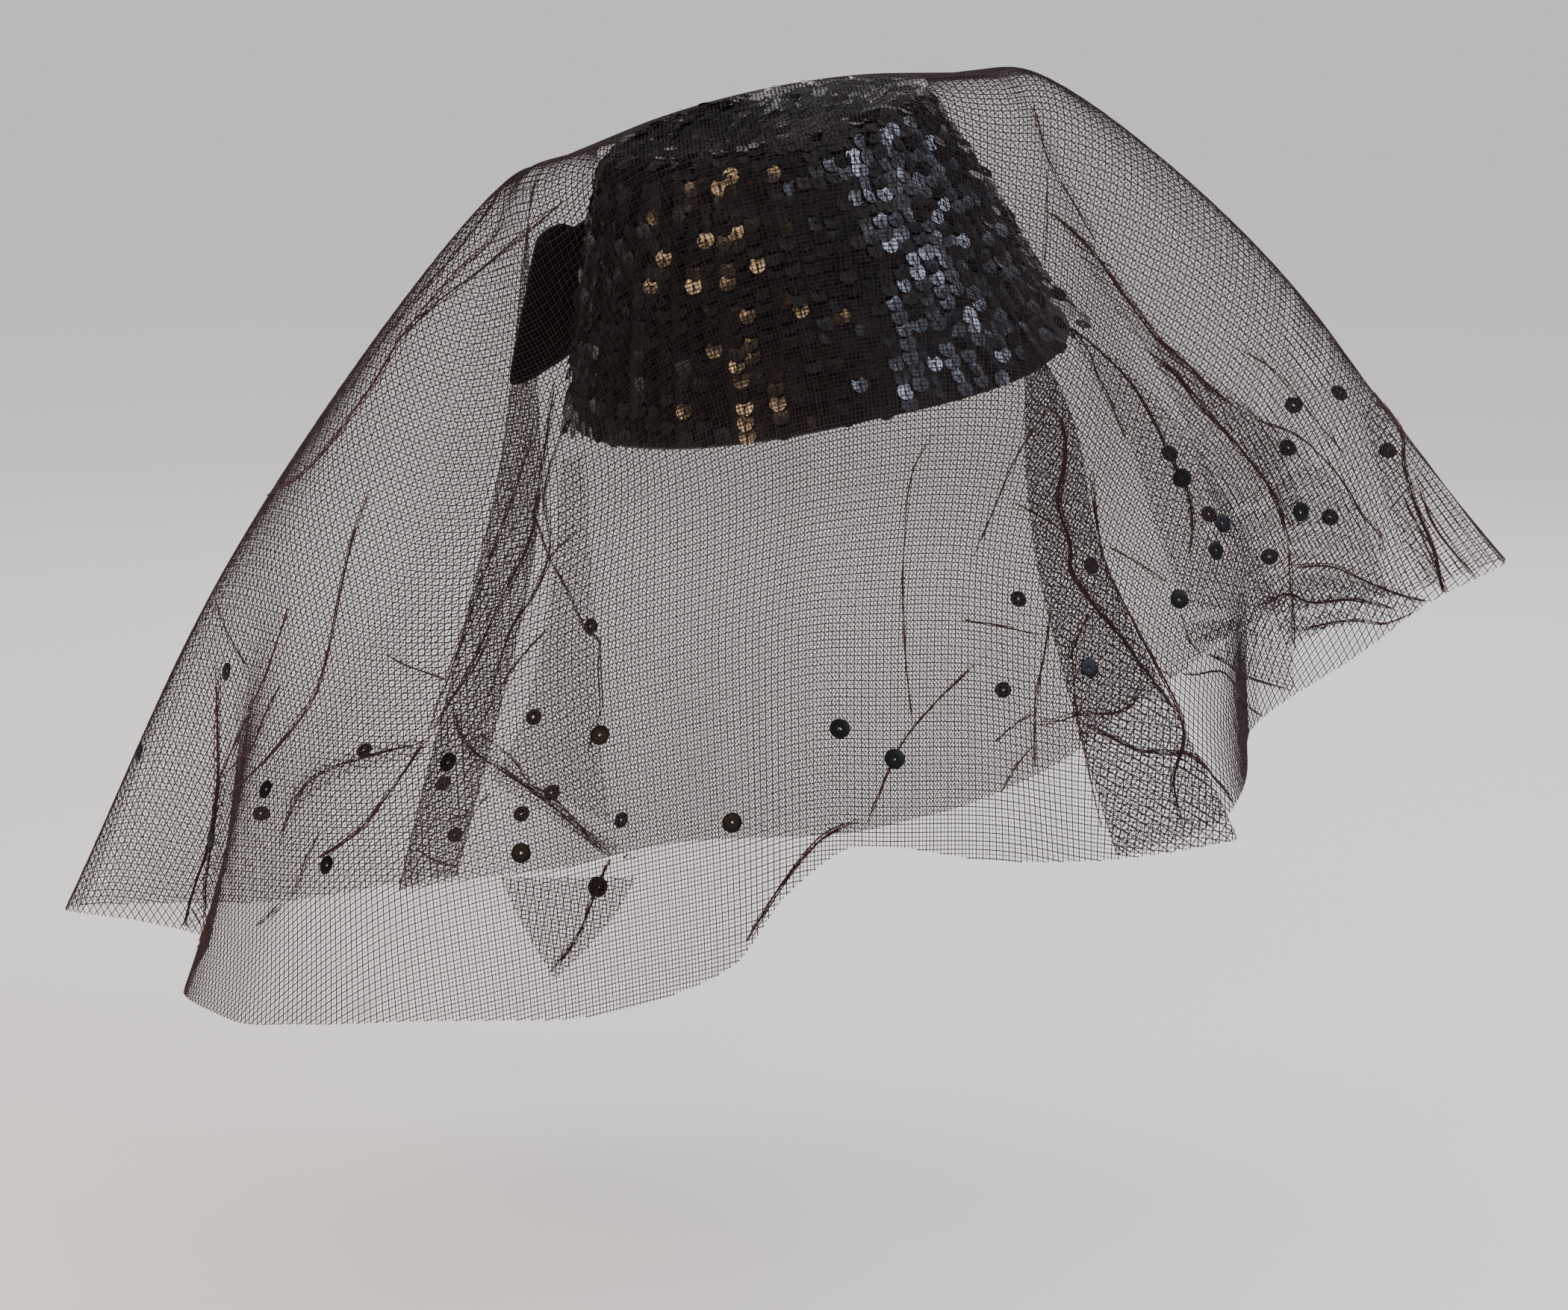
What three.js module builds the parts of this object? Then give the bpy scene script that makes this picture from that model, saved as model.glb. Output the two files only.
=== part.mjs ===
// Sequinned pillbox fascinator with a velvet bow and a one-piece net veil.
// Millimetres, +Z up, the wearer faces -Y. The origin is the centre of the rim opening.

import * as THREE from 'three';

// ---- driving dimensions ---------------------------------------------------------------------

const RIM_RADIUS = 83;            // outside of the crown at its lower edge
const CROWN_HEIGHT = 90;          // rim to the top's centre, along the crown's own axis
const CONE_ANGLE = 19;            // half-angle of the side, degrees
const SIDE_BELLY = 2.2;           // how far the side swells out half-way up
const CORNER_RADIUS = 13;         // round between side and top
const TOP_RISE = 5;               // dome of the top over its own edge
const CROWN_WALL = 2.6;           // stiffened cloth with its sewn-on spangles
const BINDING_HEIGHT = 3.2;       // smooth edge binding under the crown
const BINDING_WALL = 2.2;
const JOIN_GAP = 0.3;             // clear gap between neighbouring pieces
const CROWN_ROLL = -12;           // how the hat is worn: leaning to the wearer's right side
const CROWN_PITCH = 9.5;           // and a little forward, over the forehead

// The ends of the spangle strings hang over the binding. Over the wearer's left temple they
// stand out from it and hang lowest.
const FRINGE = {
  azimuth: 52, spread: 38, flare: 4, height: 26, drop: 3.8, overlap: 1.2, wall: 1.4,
};

// The bow sits on the wearer's right, towards the back. Its loops narrow to the pinch share of the
// ribbon's width at the knot, and bend back round the crown on the sweep radius.
const BOW = {
  azimuth: -135, height: 26, roll: 9, standOff: 0.3,
  halfLength: 53, ribbon: 49, wall: 1.6, plump: 17, lift: 1.2, pinch: 0.59, sweep: 210,
  knotHalf: 9, knotHeight: 40, knotDepth: 17.3, knotRound: 1.2,
};

// Half the thickness of a bow's loop, from inside the knot out to its rounded end.
const LOOP = [
  { along: 4, half: 2.1 },
  { along: 9, half: 2.6 },
  { along: 17, half: 4.9 },
  { along: 27, half: 7.8 },
  { along: 36, half: 8.5 },
  { along: 44, half: 7.7 },
  { along: 50, half: 5.2 },
  { along: 53, half: 0 },
];

const VEIL_WALL = 1;
const VEIL_CLEARANCE = 0.9;       // middle of the net's wall above the crown
const VEIL_CORNER_LIFT = 1.5;     // more of it where the net turns over the crown's corner
const SPANGLE = { radius: 3.1, hole: 0.6, thickness: 0.5, sides: 8, seat: 0.3 };

// The place from which the chart of loose spangles is read: millimetres from the origin, across,
// upwards and away, and degrees above level.
const VIEW = { right: -10.4, up: -94.4, distance: 1135, elevation: 9 };

const SIDES = 48;                 // facets round the crown
const DEG = Math.PI / 180;

// ---- the veil's shape, as short tables -------------------------------------------------------
// Azimuth is counted from the front, positive towards +X. Radii are from the vertical axis
// through the origin, heights from the origin, both in millimetres.

// Where the net passes the crown (radius and height in the crown's own tilted frame) and where
// it is half-way down its fall.
const FALL = [
  { azimuth: -180, shoulderR: 84, shoulderH: 70, middleR: 121, middleZ: -52 },
  { azimuth: -155, shoulderR: 92, shoulderH: 70, middleR: 123, middleZ: -55 },
  { azimuth: -135, shoulderR: 95, shoulderH: 72, middleR: 129, middleZ: -55 },
  { azimuth: -118, shoulderR: 92, shoulderH: 76, middleR: 126, middleZ: -55 },
  { azimuth: -109, shoulderR: 88, shoulderH: 78, middleR: 140, middleZ: -55 },
  { azimuth: -99, shoulderR: 86, shoulderH: 81, middleR: 198, middleZ: -60 },
  { azimuth: -90, shoulderR: 86, shoulderH: 76, middleR: 192, middleZ: -66 },
  { azimuth: -78, shoulderR: 89, shoulderH: 50, middleR: 172, middleZ: -72 },
  { azimuth: -62, shoulderR: 89, shoulderH: 14, middleR: 148, middleZ: -84 },
  { azimuth: -45, shoulderR: 88, shoulderH: 4, middleR: 132, middleZ: -88 },
  { azimuth: -25, shoulderR: 87, shoulderH: 3, middleR: 122, middleZ: -88 },
  { azimuth: 0, shoulderR: 88, shoulderH: 3, middleR: 116, middleZ: -68 },
  { azimuth: 25, shoulderR: 91, shoulderH: 0, middleR: 112, middleZ: -60 },
  { azimuth: 45, shoulderR: 94, shoulderH: 0, middleR: 108, middleZ: -54 },
  { azimuth: 57, shoulderR: 96, shoulderH: 10, middleR: 112, middleZ: -52 },
  { azimuth: 68, shoulderR: 95, shoulderH: 42, middleR: 132, middleZ: -24 },
  { azimuth: 80, shoulderR: 93, shoulderH: 70, middleR: 155, middleZ: 6 },
  { azimuth: 92, shoulderR: 92, shoulderH: 78, middleR: 170, middleZ: 12 },
  { azimuth: 101, shoulderR: 92, shoulderH: 78, middleR: 158, middleZ: 4 },
  { azimuth: 114, shoulderR: 90, shoulderH: 76, middleR: 132, middleZ: -20 },
  { azimuth: 135, shoulderR: 88, shoulderH: 73, middleR: 120, middleZ: -40 },
  { azimuth: 158, shoulderR: 85, shoulderH: 71, middleR: 118, middleZ: -50 },
];

// The cut edge, all the way round.
const HEM = [
  { azimuth: -180, radius: 128, height: -184 },
  { azimuth: -155, radius: 134, height: -188 },
  { azimuth: -138, radius: 146, height: -191 },
  { azimuth: -124, radius: 170, height: -195 },
  { azimuth: -112, radius: 206, height: -198 },
  { azimuth: -104, radius: 236, height: -194 },
  { azimuth: -97, radius: 262, height: -190 },
  { azimuth: -90, radius: 234, height: -187 },
  { azimuth: -84, radius: 215, height: -189 },
  { azimuth: -77, radius: 220, height: -199 },
  { azimuth: -66, radius: 206, height: -199 },
  { azimuth: -55, radius: 192, height: -193 },
  { azimuth: -42, radius: 174, height: -186 },
  { azimuth: -28, radius: 160, height: -183 },
  { azimuth: -19, radius: 153, height: -177 },
  { azimuth: -10, radius: 147, height: -166 },
  { azimuth: -3, radius: 146, height: -141 },
  { azimuth: 4, radius: 146, height: -129 },
  { azimuth: 20, radius: 151, height: -135 },
  { azimuth: 38, radius: 150, height: -140 },
  { azimuth: 50, radius: 153, height: -138 },
  { azimuth: 60, radius: 152, height: -130 },
  { azimuth: 72, radius: 152, height: -116 },
  { azimuth: 82, radius: 178, height: -93 },
  { azimuth: 89, radius: 200, height: -79 },
  { azimuth: 95, radius: 236, height: -66 },
  { azimuth: 101, radius: 212, height: -80 },
  { azimuth: 110, radius: 174, height: -92 },
  { azimuth: 122, radius: 150, height: -118 },
  { azimuth: 138, radius: 136, height: -150 },
  { azimuth: 158, radius: 130, height: -174 },
];

// The azimuths of the hem's two tips, where the net turns back sharply.
const HEM_TIPS = [-97, 95];

// Flat pleats, where the net doubles back under itself. The overlap is how far it runs back in
// degrees, the depth how far apart its layers lie, and the outer side tells which way round lies
// on the outside.
const PLEATS = [
  { azimuth: 46.5, halfWidth: 6, overlap: 18, depth: 6.5, start: 0.6, outerSide: -1 },
  { azimuth: -124, halfWidth: 6, overlap: 12, depth: 5.5, start: 0.69, outerSide: -1 },
];

// The share of its overlap that a pleat has above the net's lowest fifth.
const PLEAT_TOP = 0.45;

// Rounded folds that run down the net: a positive depth stands out, a negative one hangs in.
const FOLDS = [
  { azimuth: -88, lean: 3, halfWidth: 6, depth: -9, start: 0.76 },
  { azimuth: -70, lean: -4, halfWidth: 8, depth: -7, start: 0.66 },
  { azimuth: -134, lean: -4, halfWidth: 9, depth: -8, start: 0.66 },
  { azimuth: -40, lean: -4, halfWidth: 9, depth: 5, start: 0.74 },
  { azimuth: -4, lean: 3, halfWidth: 7, depth: 6, start: 0.74 },
  { azimuth: 26, lean: 6, halfWidth: 8, depth: -5, start: 0.72 },
  { azimuth: 70, lean: 4, halfWidth: 7, depth: -5, start: 0.5 },
  { azimuth: 82, lean: 4, halfWidth: 7, depth: 3, start: 0.58 },
  { azimuth: 108, lean: 2, halfWidth: 7, depth: -8, start: 0.5 },
  { azimuth: 140, lean: 4, halfWidth: 9, depth: 7, start: 0.64 },
  { azimuth: 168, lean: 3, halfWidth: 9, depth: -7, start: 0.64 },
  { azimuth: -158, lean: -3, halfWidth: 9, depth: 7, start: 0.64 },
];

// The loose spangles, by where each shows from straight in front: millimetres to the right of
// the origin and above it, and whether it is on the near or the far side of the net.
const SPANGLES = [
  { right: 173, up: -8, side: 'far' }, { right: 158, up: -12, side: 'far' },
  { right: 156, up: -26, side: 'far' }, { right: 189, up: -27, side: 'far' },
  { right: 117, up: -28, side: 'far' }, { right: 121, up: -36, side: 'near' },
  { right: 130, up: -48, side: 'far' }, { right: 134, up: -51, side: 'near' },
  { right: 132, up: -60, side: 'near' }, { right: 160, up: -47, side: 'near' },
  { right: 170, up: -49, side: 'far' }, { right: 150, up: -62, side: 'far' },
  { right: 120, up: -76, side: 'near' }, { right: 91, up: -65, side: 'far' },
  { right: 67, up: -76, side: 'far' }, { right: 90, up: -99, side: 'near' },
  { right: 62, up: -106, side: 'far' }, { right: 8, up: -119, side: 'near' },
  { right: 26, up: -129, side: 'near' }, { right: -27, up: -150, side: 'near' },
  { right: -71, up: -121, side: 'near' }, { right: -93, up: -115, side: 'far' },
  { right: -74, up: -85, side: 'far' }, { right: -121, up: -130, side: 'near' },
  { right: -123, up: -137, side: 'far' }, { right: -149, up: -126, side: 'far' },
  { right: -181, up: -139, side: 'near' }, { right: -183, up: -147, side: 'far' },
  { right: -194, up: -100, side: 'near' }, { right: -223, up: -127, side: 'near' },
  { right: -199, up: -155, side: 'near' }, { right: -161, up: -164, side: 'near' },
  { right: -97, up: -160, side: 'near' }, { right: -119, up: -154, side: 'far' },
  { right: -64, up: -149, side: 'far' }, { right: -87, up: -140, side: 'far' },
  { right: -97, up: -147, side: 'far' }, { right: -72, up: -171, side: 'far' },
];

// ---- small helpers ---------------------------------------------------------------------------

const smooth = (x) => {
  const c = Math.min(1, Math.max(0, x));
  return c * c * (3 - 2 * c);
};
const wrap = (angle) => ((angle + 540) % 360) - 180;

// A ring of values by azimuth, joined by monotone cubics that never overshoot a row.
function ringTable(rows, column) {
  const count = rows.length;
  const at = (i) => rows[((i % count) + count) % count];
  const span = (i) => {
    const step = at(i + 1).azimuth - at(i).azimuth;
    return step > 0 ? step : step + 360;
  };
  const rise = (i) => (at(i + 1)[column] - at(i)[column]) / span(i);
  const slope = (i) => {
    const before = rise(i - 1);
    const after = rise(i);
    return before * after <= 0 ? 0 : (2 * before * after) / (before + after);
  };
  return (azimuth) => {
    let i = rows.findLastIndex((row) => row.azimuth <= azimuth);
    if (i < 0) i = count - 1;
    const width = span(i);
    const x = (((azimuth - at(i).azimuth) % 360) + 360) % 360 / width;
    const x2 = x * x;
    const x3 = x2 * x;
    return at(i)[column] * (2 * x3 - 3 * x2 + 1) + slope(i) * width * (x3 - 2 * x2 + x)
      + at(i + 1)[column] * (3 * x2 - 2 * x3) + slope(i + 1) * width * (x3 - x2);
  };
}

// A closed mesh from rings of points: every ring has the same count and is joined to the next. The
// last is joined back to the first, or both are capped.
function closedTube(rings, capped = false) {
  const positions = rings.flat().flatMap((p) => [p.x, p.y, p.z]);
  const count = rings[0].length;
  const index = [];
  const last = rings.length - 1;
  rings.slice(0, capped ? last : rings.length).forEach((ring, r) => {
    const here = r * count;
    const next = ((r + 1) % rings.length) * count;
    for (let i = 0; i < count; i += 1) {
      const j = (i + 1) % count;
      index.push(here + i, next + j, here + j, here + i, next + i, next + j);
    }
  });
  for (let i = 1; capped && i < count - 1; i += 1) {
    const end = last * count;
    index.push(0, i, i + 1, end, end + i + 1, end + i);
  }
  return indexed(positions, index);
}

function indexed(positions, index) {
  const geometry = new THREE.BufferGeometry();
  geometry.setAttribute('position', new THREE.Float32BufferAttribute(positions, 3));
  geometry.setIndex(index);
  geometry.computeVertexNormals();
  return geometry;
}

function piece(name, geometry, material) {
  const mesh = new THREE.Mesh(geometry, material);
  mesh.name = name;
  return mesh;
}

const ringPoint = (radius, azimuth, height) => new THREE.Vector3(
  radius * Math.sin(azimuth * DEG), -radius * Math.cos(azimuth * DEG), height,
);

// ---- materials -------------------------------------------------------------------------------

const cloth = (color, roughness) => new THREE.MeshStandardMaterial({ color, roughness, metalness: 0 });
const spangledCloth = cloth(0x0b0b0c, 0.35);
const boundCloth = cloth(0x08080a, 0.7);
const velvet = cloth(0x050507, 0.95);
const net = new THREE.MeshStandardMaterial({
  color: 0x2a2228, roughness: 0.9, metalness: 0, transparent: true, opacity: 0.35,
  side: THREE.DoubleSide,
});
const spangle = cloth(0x0c0d10, 0.18);

// ---- crown -----------------------------------------------------------------------------------

const coneTan = Math.tan(CONE_ANGLE * DEG);
const shoulderHeight = CROWN_HEIGHT - TOP_RISE;

// The crown's section, moved out by gap, from the given height up round the corner to the flat
// of the top.
function crownSection(gap, bottom, sideSteps, cornerSteps) {
  const cone = CONE_ANGLE * DEG;
  const height = shoulderHeight - CORNER_RADIUS;
  const flatRadius = RIM_RADIUS - (CORNER_RADIUS + height * Math.sin(cone)) / Math.cos(cone);
  const turned = CORNER_RADIUS + gap;
  const sideTop = height + turned * Math.sin(cone);
  const profile = Array.from({ length: sideSteps }, (_, i) => {
    const at = bottom + ((sideTop - bottom) * i) / sideSteps;
    const belly = SIDE_BELLY * Math.sin((Math.PI * at) / sideTop);
    return new THREE.Vector2(RIM_RADIUS - at * coneTan + belly + gap / Math.cos(cone), at);
  });
  for (let i = 0; i <= cornerSteps; i += 1) {
    const angle = cone + ((Math.PI / 2 - cone) * i) / cornerSteps;
    profile.push(new THREE.Vector2(
      flatRadius + turned * Math.cos(angle), height + turned * Math.sin(angle)));
  }
  return { profile, flatRadius };
}

// How strongly the fringe shows at this azimuth, and how far out it carries the side there.
const fringe = (azimuth) => Math.exp(-((wrap(azimuth - FRINGE.azimuth) / FRINGE.spread) ** 2));
const flare = (azimuth, height) => (
  FRINGE.flare * fringe(azimuth) * Math.max(0, 1 - height / FRINGE.height) ** 2);

// A closed section carried once round the crown's axis. The section may change with azimuth.
function turnedRing(sectionAt) {
  return closedTube(Array.from({ length: SIDES }, (_, i) => {
    const azimuth = (360 * i) / SIDES;
    return sectionAt(azimuth).map((p) => ringPoint(p.x, azimuth, p.y));
  }));
}

function crownSide() {
  const seat = BINDING_HEIGHT + JOIN_GAP;
  const outer = crownSection(0, seat + FRINGE.wall, 3, 3).profile;
  const inner = crownSection(-CROWN_WALL, seat, 1, 2).profile.reverse();
  return turnedRing((azimuth) => {
    const hanging = BINDING_HEIGHT - FRINGE.overlap - FRINGE.drop * fringe(azimuth);
    const out = flare(azimuth, hanging);
    return [
      new THREE.Vector2(RIM_RADIUS + out, hanging),
      ...outer.map((p) => new THREE.Vector2(p.x + flare(azimuth, p.y), p.y)),
      ...inner,
      new THREE.Vector2(RIM_RADIUS - FRINGE.wall, seat),
      new THREE.Vector2(RIM_RADIUS - FRINGE.wall + out, hanging),
    ];
  });
}

function crownTop() {
  const edge = crownSection(0, 0, 1, 1).flatRadius - JOIN_GAP;
  const steps = 3;
  const dome = (r) => shoulderHeight + TOP_RISE * (1 - (r / edge) ** 2);
  const upper = Array.from({ length: steps + 1 }, (_, i) => (
    new THREE.Vector2(edge * (1 - i / steps), dome(edge * (1 - i / steps)))));
  const lower = upper.map((p) => new THREE.Vector2(p.x, p.y - CROWN_WALL)).reverse();
  const geometry = new THREE.LatheGeometry([...lower, ...upper], SIDES);
  geometry.rotateX(Math.PI / 2);
  return geometry;
}

function rimBinding() {
  const outer = RIM_RADIUS - FRINGE.wall - JOIN_GAP;
  const inner = outer - BINDING_WALL;
  const round = 0.8;
  return turnedRing(() => [
    new THREE.Vector2(outer - round, 0),
    new THREE.Vector2(outer, round),
    new THREE.Vector2(outer, BINDING_HEIGHT),
    new THREE.Vector2(inner, BINDING_HEIGHT),
    new THREE.Vector2(inner, 0),
  ]);
}

// ---- bow -------------------------------------------------------------------------------------

// One loop of wide ribbon: out from the knot along its front, round the end and back behind.
function bowLoop(direction) {
  const stations = 22;
  const face = (sign) => LOOP.map((row) => new THREE.Vector2(row.along, sign * row.half));
  const hoop = new THREE.SplineCurve([...face(1), ...face(-1).reverse().slice(1)]);
  const rings = Array.from({ length: stations + 1 }, (_, i) => {
    const point = hoop.getPoint(i / stations);
    const tangent = hoop.getTangent(i / stations);
    const bend = point.x ** 2 / (2 * BOW.sweep);
    const open = smooth((point.x - LOOP[0].along) / (BOW.halfLength * 0.5));
    const half = (BOW.ribbon / 2) * (BOW.pinch + (1 - BOW.pinch) * open);
    const at = (inset, height) => new THREE.Vector3(
      direction * (point.x + tangent.y * inset), height,
      BOW.plump / 2 + BOW.lift + point.y - tangent.x * inset - bend);
    return [at(0, -half), at(0, half), at(BOW.wall, half), at(BOW.wall, -half)];
  });
  return closedTube(direction > 0 ? rings : rings.reverse(), true);
}

// The short band that is wrapped round the middle of the bow.
function bowKnot() {
  const rows = 5;
  const around = 14;
  const halfHeight = BOW.knotHeight / 2 + BOW.wall + JOIN_GAP;
  const half = BOW.knotDepth / 2;
  const ringAt = (across, inset) => Array.from({ length: around }, (_, i) => {
    const angle = (2 * Math.PI * i) / around;
    const rise = Math.sin(angle);
    const reach = Math.sign(Math.cos(angle)) * Math.abs(Math.cos(angle)) ** 0.6;
    return new THREE.Vector3(
      across, rise * (halfHeight - inset), half + 0.2 + reach * (half - inset));
  });
  const outer = Array.from({ length: rows }, (_, i) => {
    const x = (2 * i) / (rows - 1) - 1;
    return ringAt(x * BOW.knotHalf, BOW.knotRound * x * x);
  });
  const inner = [1, -1].map((x) => ringAt(x * BOW.knotHalf, BOW.knotRound + BOW.wall));
  return closedTube([...outer, ...inner]);
}

function bow() {
  const group = new THREE.Group();
  group.add(
    piece('bow_loop_outer', bowLoop(1), velvet),
    piece('bow_loop_hidden', bowLoop(-1), velvet),
    piece('bow_knot', bowKnot(), velvet),
  );
  const radial = ringPoint(1, BOW.azimuth, 0);
  const across = ringPoint(1, BOW.azimuth + 90, 0);
  const cone = CONE_ANGLE * DEG;
  const up = radial.clone().multiplyScalar(-Math.sin(cone)).setZ(Math.cos(cone));
  const out = radial.clone().multiplyScalar(Math.cos(cone)).setZ(Math.sin(cone));
  // The bow's own axes: the loop that shows, up the ribbon, and away from the crown.
  const frame = new THREE.Matrix4().makeBasis(across, up, out);
  group.quaternion.setFromRotationMatrix(frame);
  group.position.copy(ringPoint(
    RIM_RADIUS - BOW.height * coneTan + SIDE_BELLY, BOW.azimuth, BOW.height))
    .addScaledVector(out, BOW.standOff);
  group.rotateZ(BOW.roll * DEG);
  return group;
}

// ---- veil ------------------------------------------------------------------------------------

const hatTurn = new THREE.Matrix4().makeRotationY(CROWN_ROLL * DEG)
  .multiply(new THREE.Matrix4().makeRotationX(CROWN_PITCH * DEG));

const fall = {
  shoulderR: ringTable(FALL, 'shoulderR'),
  shoulderH: ringTable(FALL, 'shoulderH'),
  middleR: ringTable(FALL, 'middleR'),
  middleZ: ringTable(FALL, 'middleZ'),
};
const hem = { radius: ringTable(HEM, 'radius'), height: ringTable(HEM, 'height') };

// Levels run from 0 at the middle of the crown's top to 1 at the hem, a seventh to each knot.
const LEVEL = { topMiddle: 1 / 7, topEdge: 2 / 7, corner: 3 / 7, side: 4 / 7, shoulder: 5 / 7 };

// The knots of one radial line of the net, from the middle of the crown's top out to the hem.
function veilKnots(azimuth) {
  const onHat = (radius, height) => ringPoint(radius, azimuth, height).applyMatrix4(hatTurn);
  const { profile } = crownSection(VEIL_CLEARANCE, 0, 1, 2);
  const corner = profile[profile.length - 2].clone().addScalar(VEIL_CORNER_LIFT);
  const topEdge = profile[profile.length - 1];
  const shoulder = new THREE.Vector2(fall.shoulderR(azimuth), fall.shoulderH(azimuth));
  const side = corner.clone().lerp(shoulder, 0.5);
  return [
    onHat(0.01, CROWN_HEIGHT + VEIL_CLEARANCE),
    onHat(topEdge.x / 2, shoulderHeight + TOP_RISE * 0.75 + VEIL_CLEARANCE),
    onHat(topEdge.x, topEdge.y + VEIL_CORNER_LIFT / 4),
    onHat(corner.x, corner.y),
    onHat(side.x + SIDE_BELLY, side.y),
    onHat(shoulder.x, shoulder.y),
    ringPoint(fall.middleR(azimuth), azimuth, fall.middleZ(azimuth)),
    ringPoint(hem.radius(azimuth), azimuth, hem.height(azimuth)),
  ];
}

// How the pleats and folds move a point: round the ring in degrees, and outwards in millimetres.
function gather(azimuth, level) {
  // A pleat's swing rises to 1 on one side of its middle and falls to -1 on the other.
  const steepness = 1.6;
  const full = Math.sqrt(2 * steepness * Math.E);
  let turn = 0;
  let out = 0;
  for (const pleat of PLEATS) {
    const x = wrap(azimuth - pleat.azimuth) / pleat.halfWidth;
    const swing = full * x * Math.exp(-steepness * x * x) * smooth((level - pleat.start) / 0.2);
    const overlap = pleat.overlap * (PLEAT_TOP + (1 - PLEAT_TOP) * smooth((level - 0.8) / 0.2));
    turn -= swing * (overlap + 1.12 * pleat.halfWidth) / 2;
    out += swing * pleat.depth * pleat.outerSide;
  }
  for (const fold of FOLDS) {
    const x = wrap(azimuth - fold.azimuth - fold.lean * level) / fold.halfWidth;
    out += fold.depth * Math.exp(-x * x) * smooth((level - fold.start) / (1 - fold.start));
  }
  return { turn, out };
}

function veilPoint(azimuth, level) {
  const point = new THREE.CatmullRomCurve3(veilKnots(azimuth), false, 'centripetal').getPoint(level);
  const { turn, out } = gather(azimuth, level);
  const angle = Math.atan2(point.x, -point.y) / DEG + turn;
  return ringPoint(Math.hypot(point.x, point.y) + out, angle, point.z);
}

// The net's outward direction, from its slopes along and across.
function veilNormal(azimuth, level) {
  const step = 0.4;
  const rise = 0.004;
  const across = veilPoint(azimuth + step, level).sub(veilPoint(azimuth - step, level));
  const down = veilPoint(azimuth, Math.min(1, level + rise)).sub(veilPoint(azimuth, level - rise));
  return down.cross(across).normalize();
}

// Columns of the net's wall: one at each tip of the hem, and close together there and in pleats.
function veilColumns() {
  const coarse = 4.8;
  const parts = 3;
  const first = HEM_TIPS[0] - coarse * Math.floor((HEM_TIPS[0] + 180) / coarse);
  const columns = [];
  for (let azimuth = first; azimuth < first + 359.9; azimuth += coarse) {
    const middle = azimuth + coarse / 2;
    const close = HEM_TIPS.some((tip) => Math.abs(middle - tip) < coarse)
      || PLEATS.some((pleat) => Math.abs(middle - pleat.azimuth) < 1.5 * pleat.halfWidth);
    for (let i = 0; i < (close ? parts : 1); i++) columns.push(azimuth + (coarse * i) / parts);
  }
  return columns;
}

function veil() {
  const columns = veilColumns();
  const sideRows = 5;
  const fallRows = 9;
  const spread = (from, to, rows) => (
    Array.from({ length: rows }, (_, i) => from + ((to - from) * (i + 1)) / rows));
  const levels = [LEVEL.topMiddle, LEVEL.topEdge, LEVEL.corner,
    ...spread(LEVEL.corner, LEVEL.shoulder, sideRows), ...spread(LEVEL.shoulder, 1, fallRows)];
  const wall = (side) => levels.map((level) => columns.map((azimuth) => (
    veilPoint(azimuth, level).addScaledVector(veilNormal(azimuth, level), (side * VEIL_WALL) / 2))));
  const outer = wall(1);
  const inner = wall(-1).reverse();
  const apex = [1, -1].map((side) => (
    new THREE.Vector3(0, 0, CROWN_HEIGHT + VEIL_CLEARANCE + (side * VEIL_WALL) / 2)
      .applyMatrix4(hatTurn)));
  const rings = [...outer, ...inner];
  const count = columns.length;
  const positions = [...rings.flat(), ...apex].flatMap((p) => [p.x, p.y, p.z]);
  const outerApex = rings.length * count;
  const last = rings.length - 1;
  const index = [];
  for (let i = 0; i < count; i += 1) {
    const j = (i + 1) % count;
    index.push(outerApex, i, j);
    for (let r = 0; r < last; r += 1) {
      const here = r * count;
      const next = here + count;
      index.push(here + i, next + i, next + j, here + i, next + j, here + j);
    }
    index.push(outerApex + 1, last * count + j, last * count + i);
  }
  return indexed(positions, index);
}

// ---- loose spangles --------------------------------------------------------------------------

// A flat washer lying in its own XY plane.
function washer() {
  const ringAt = (radius, height) => Array.from({ length: SPANGLE.sides }, (_, i) => (
    ringPoint(radius, (360 * i) / SPANGLE.sides, height)));
  const half = SPANGLE.thickness / 2;
  return closedTube([
    ringAt(SPANGLE.hole, -half), ringAt(SPANGLE.hole, half),
    ringAt(SPANGLE.radius, half), ringAt(SPANGLE.radius, -half),
  ]);
}

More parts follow.
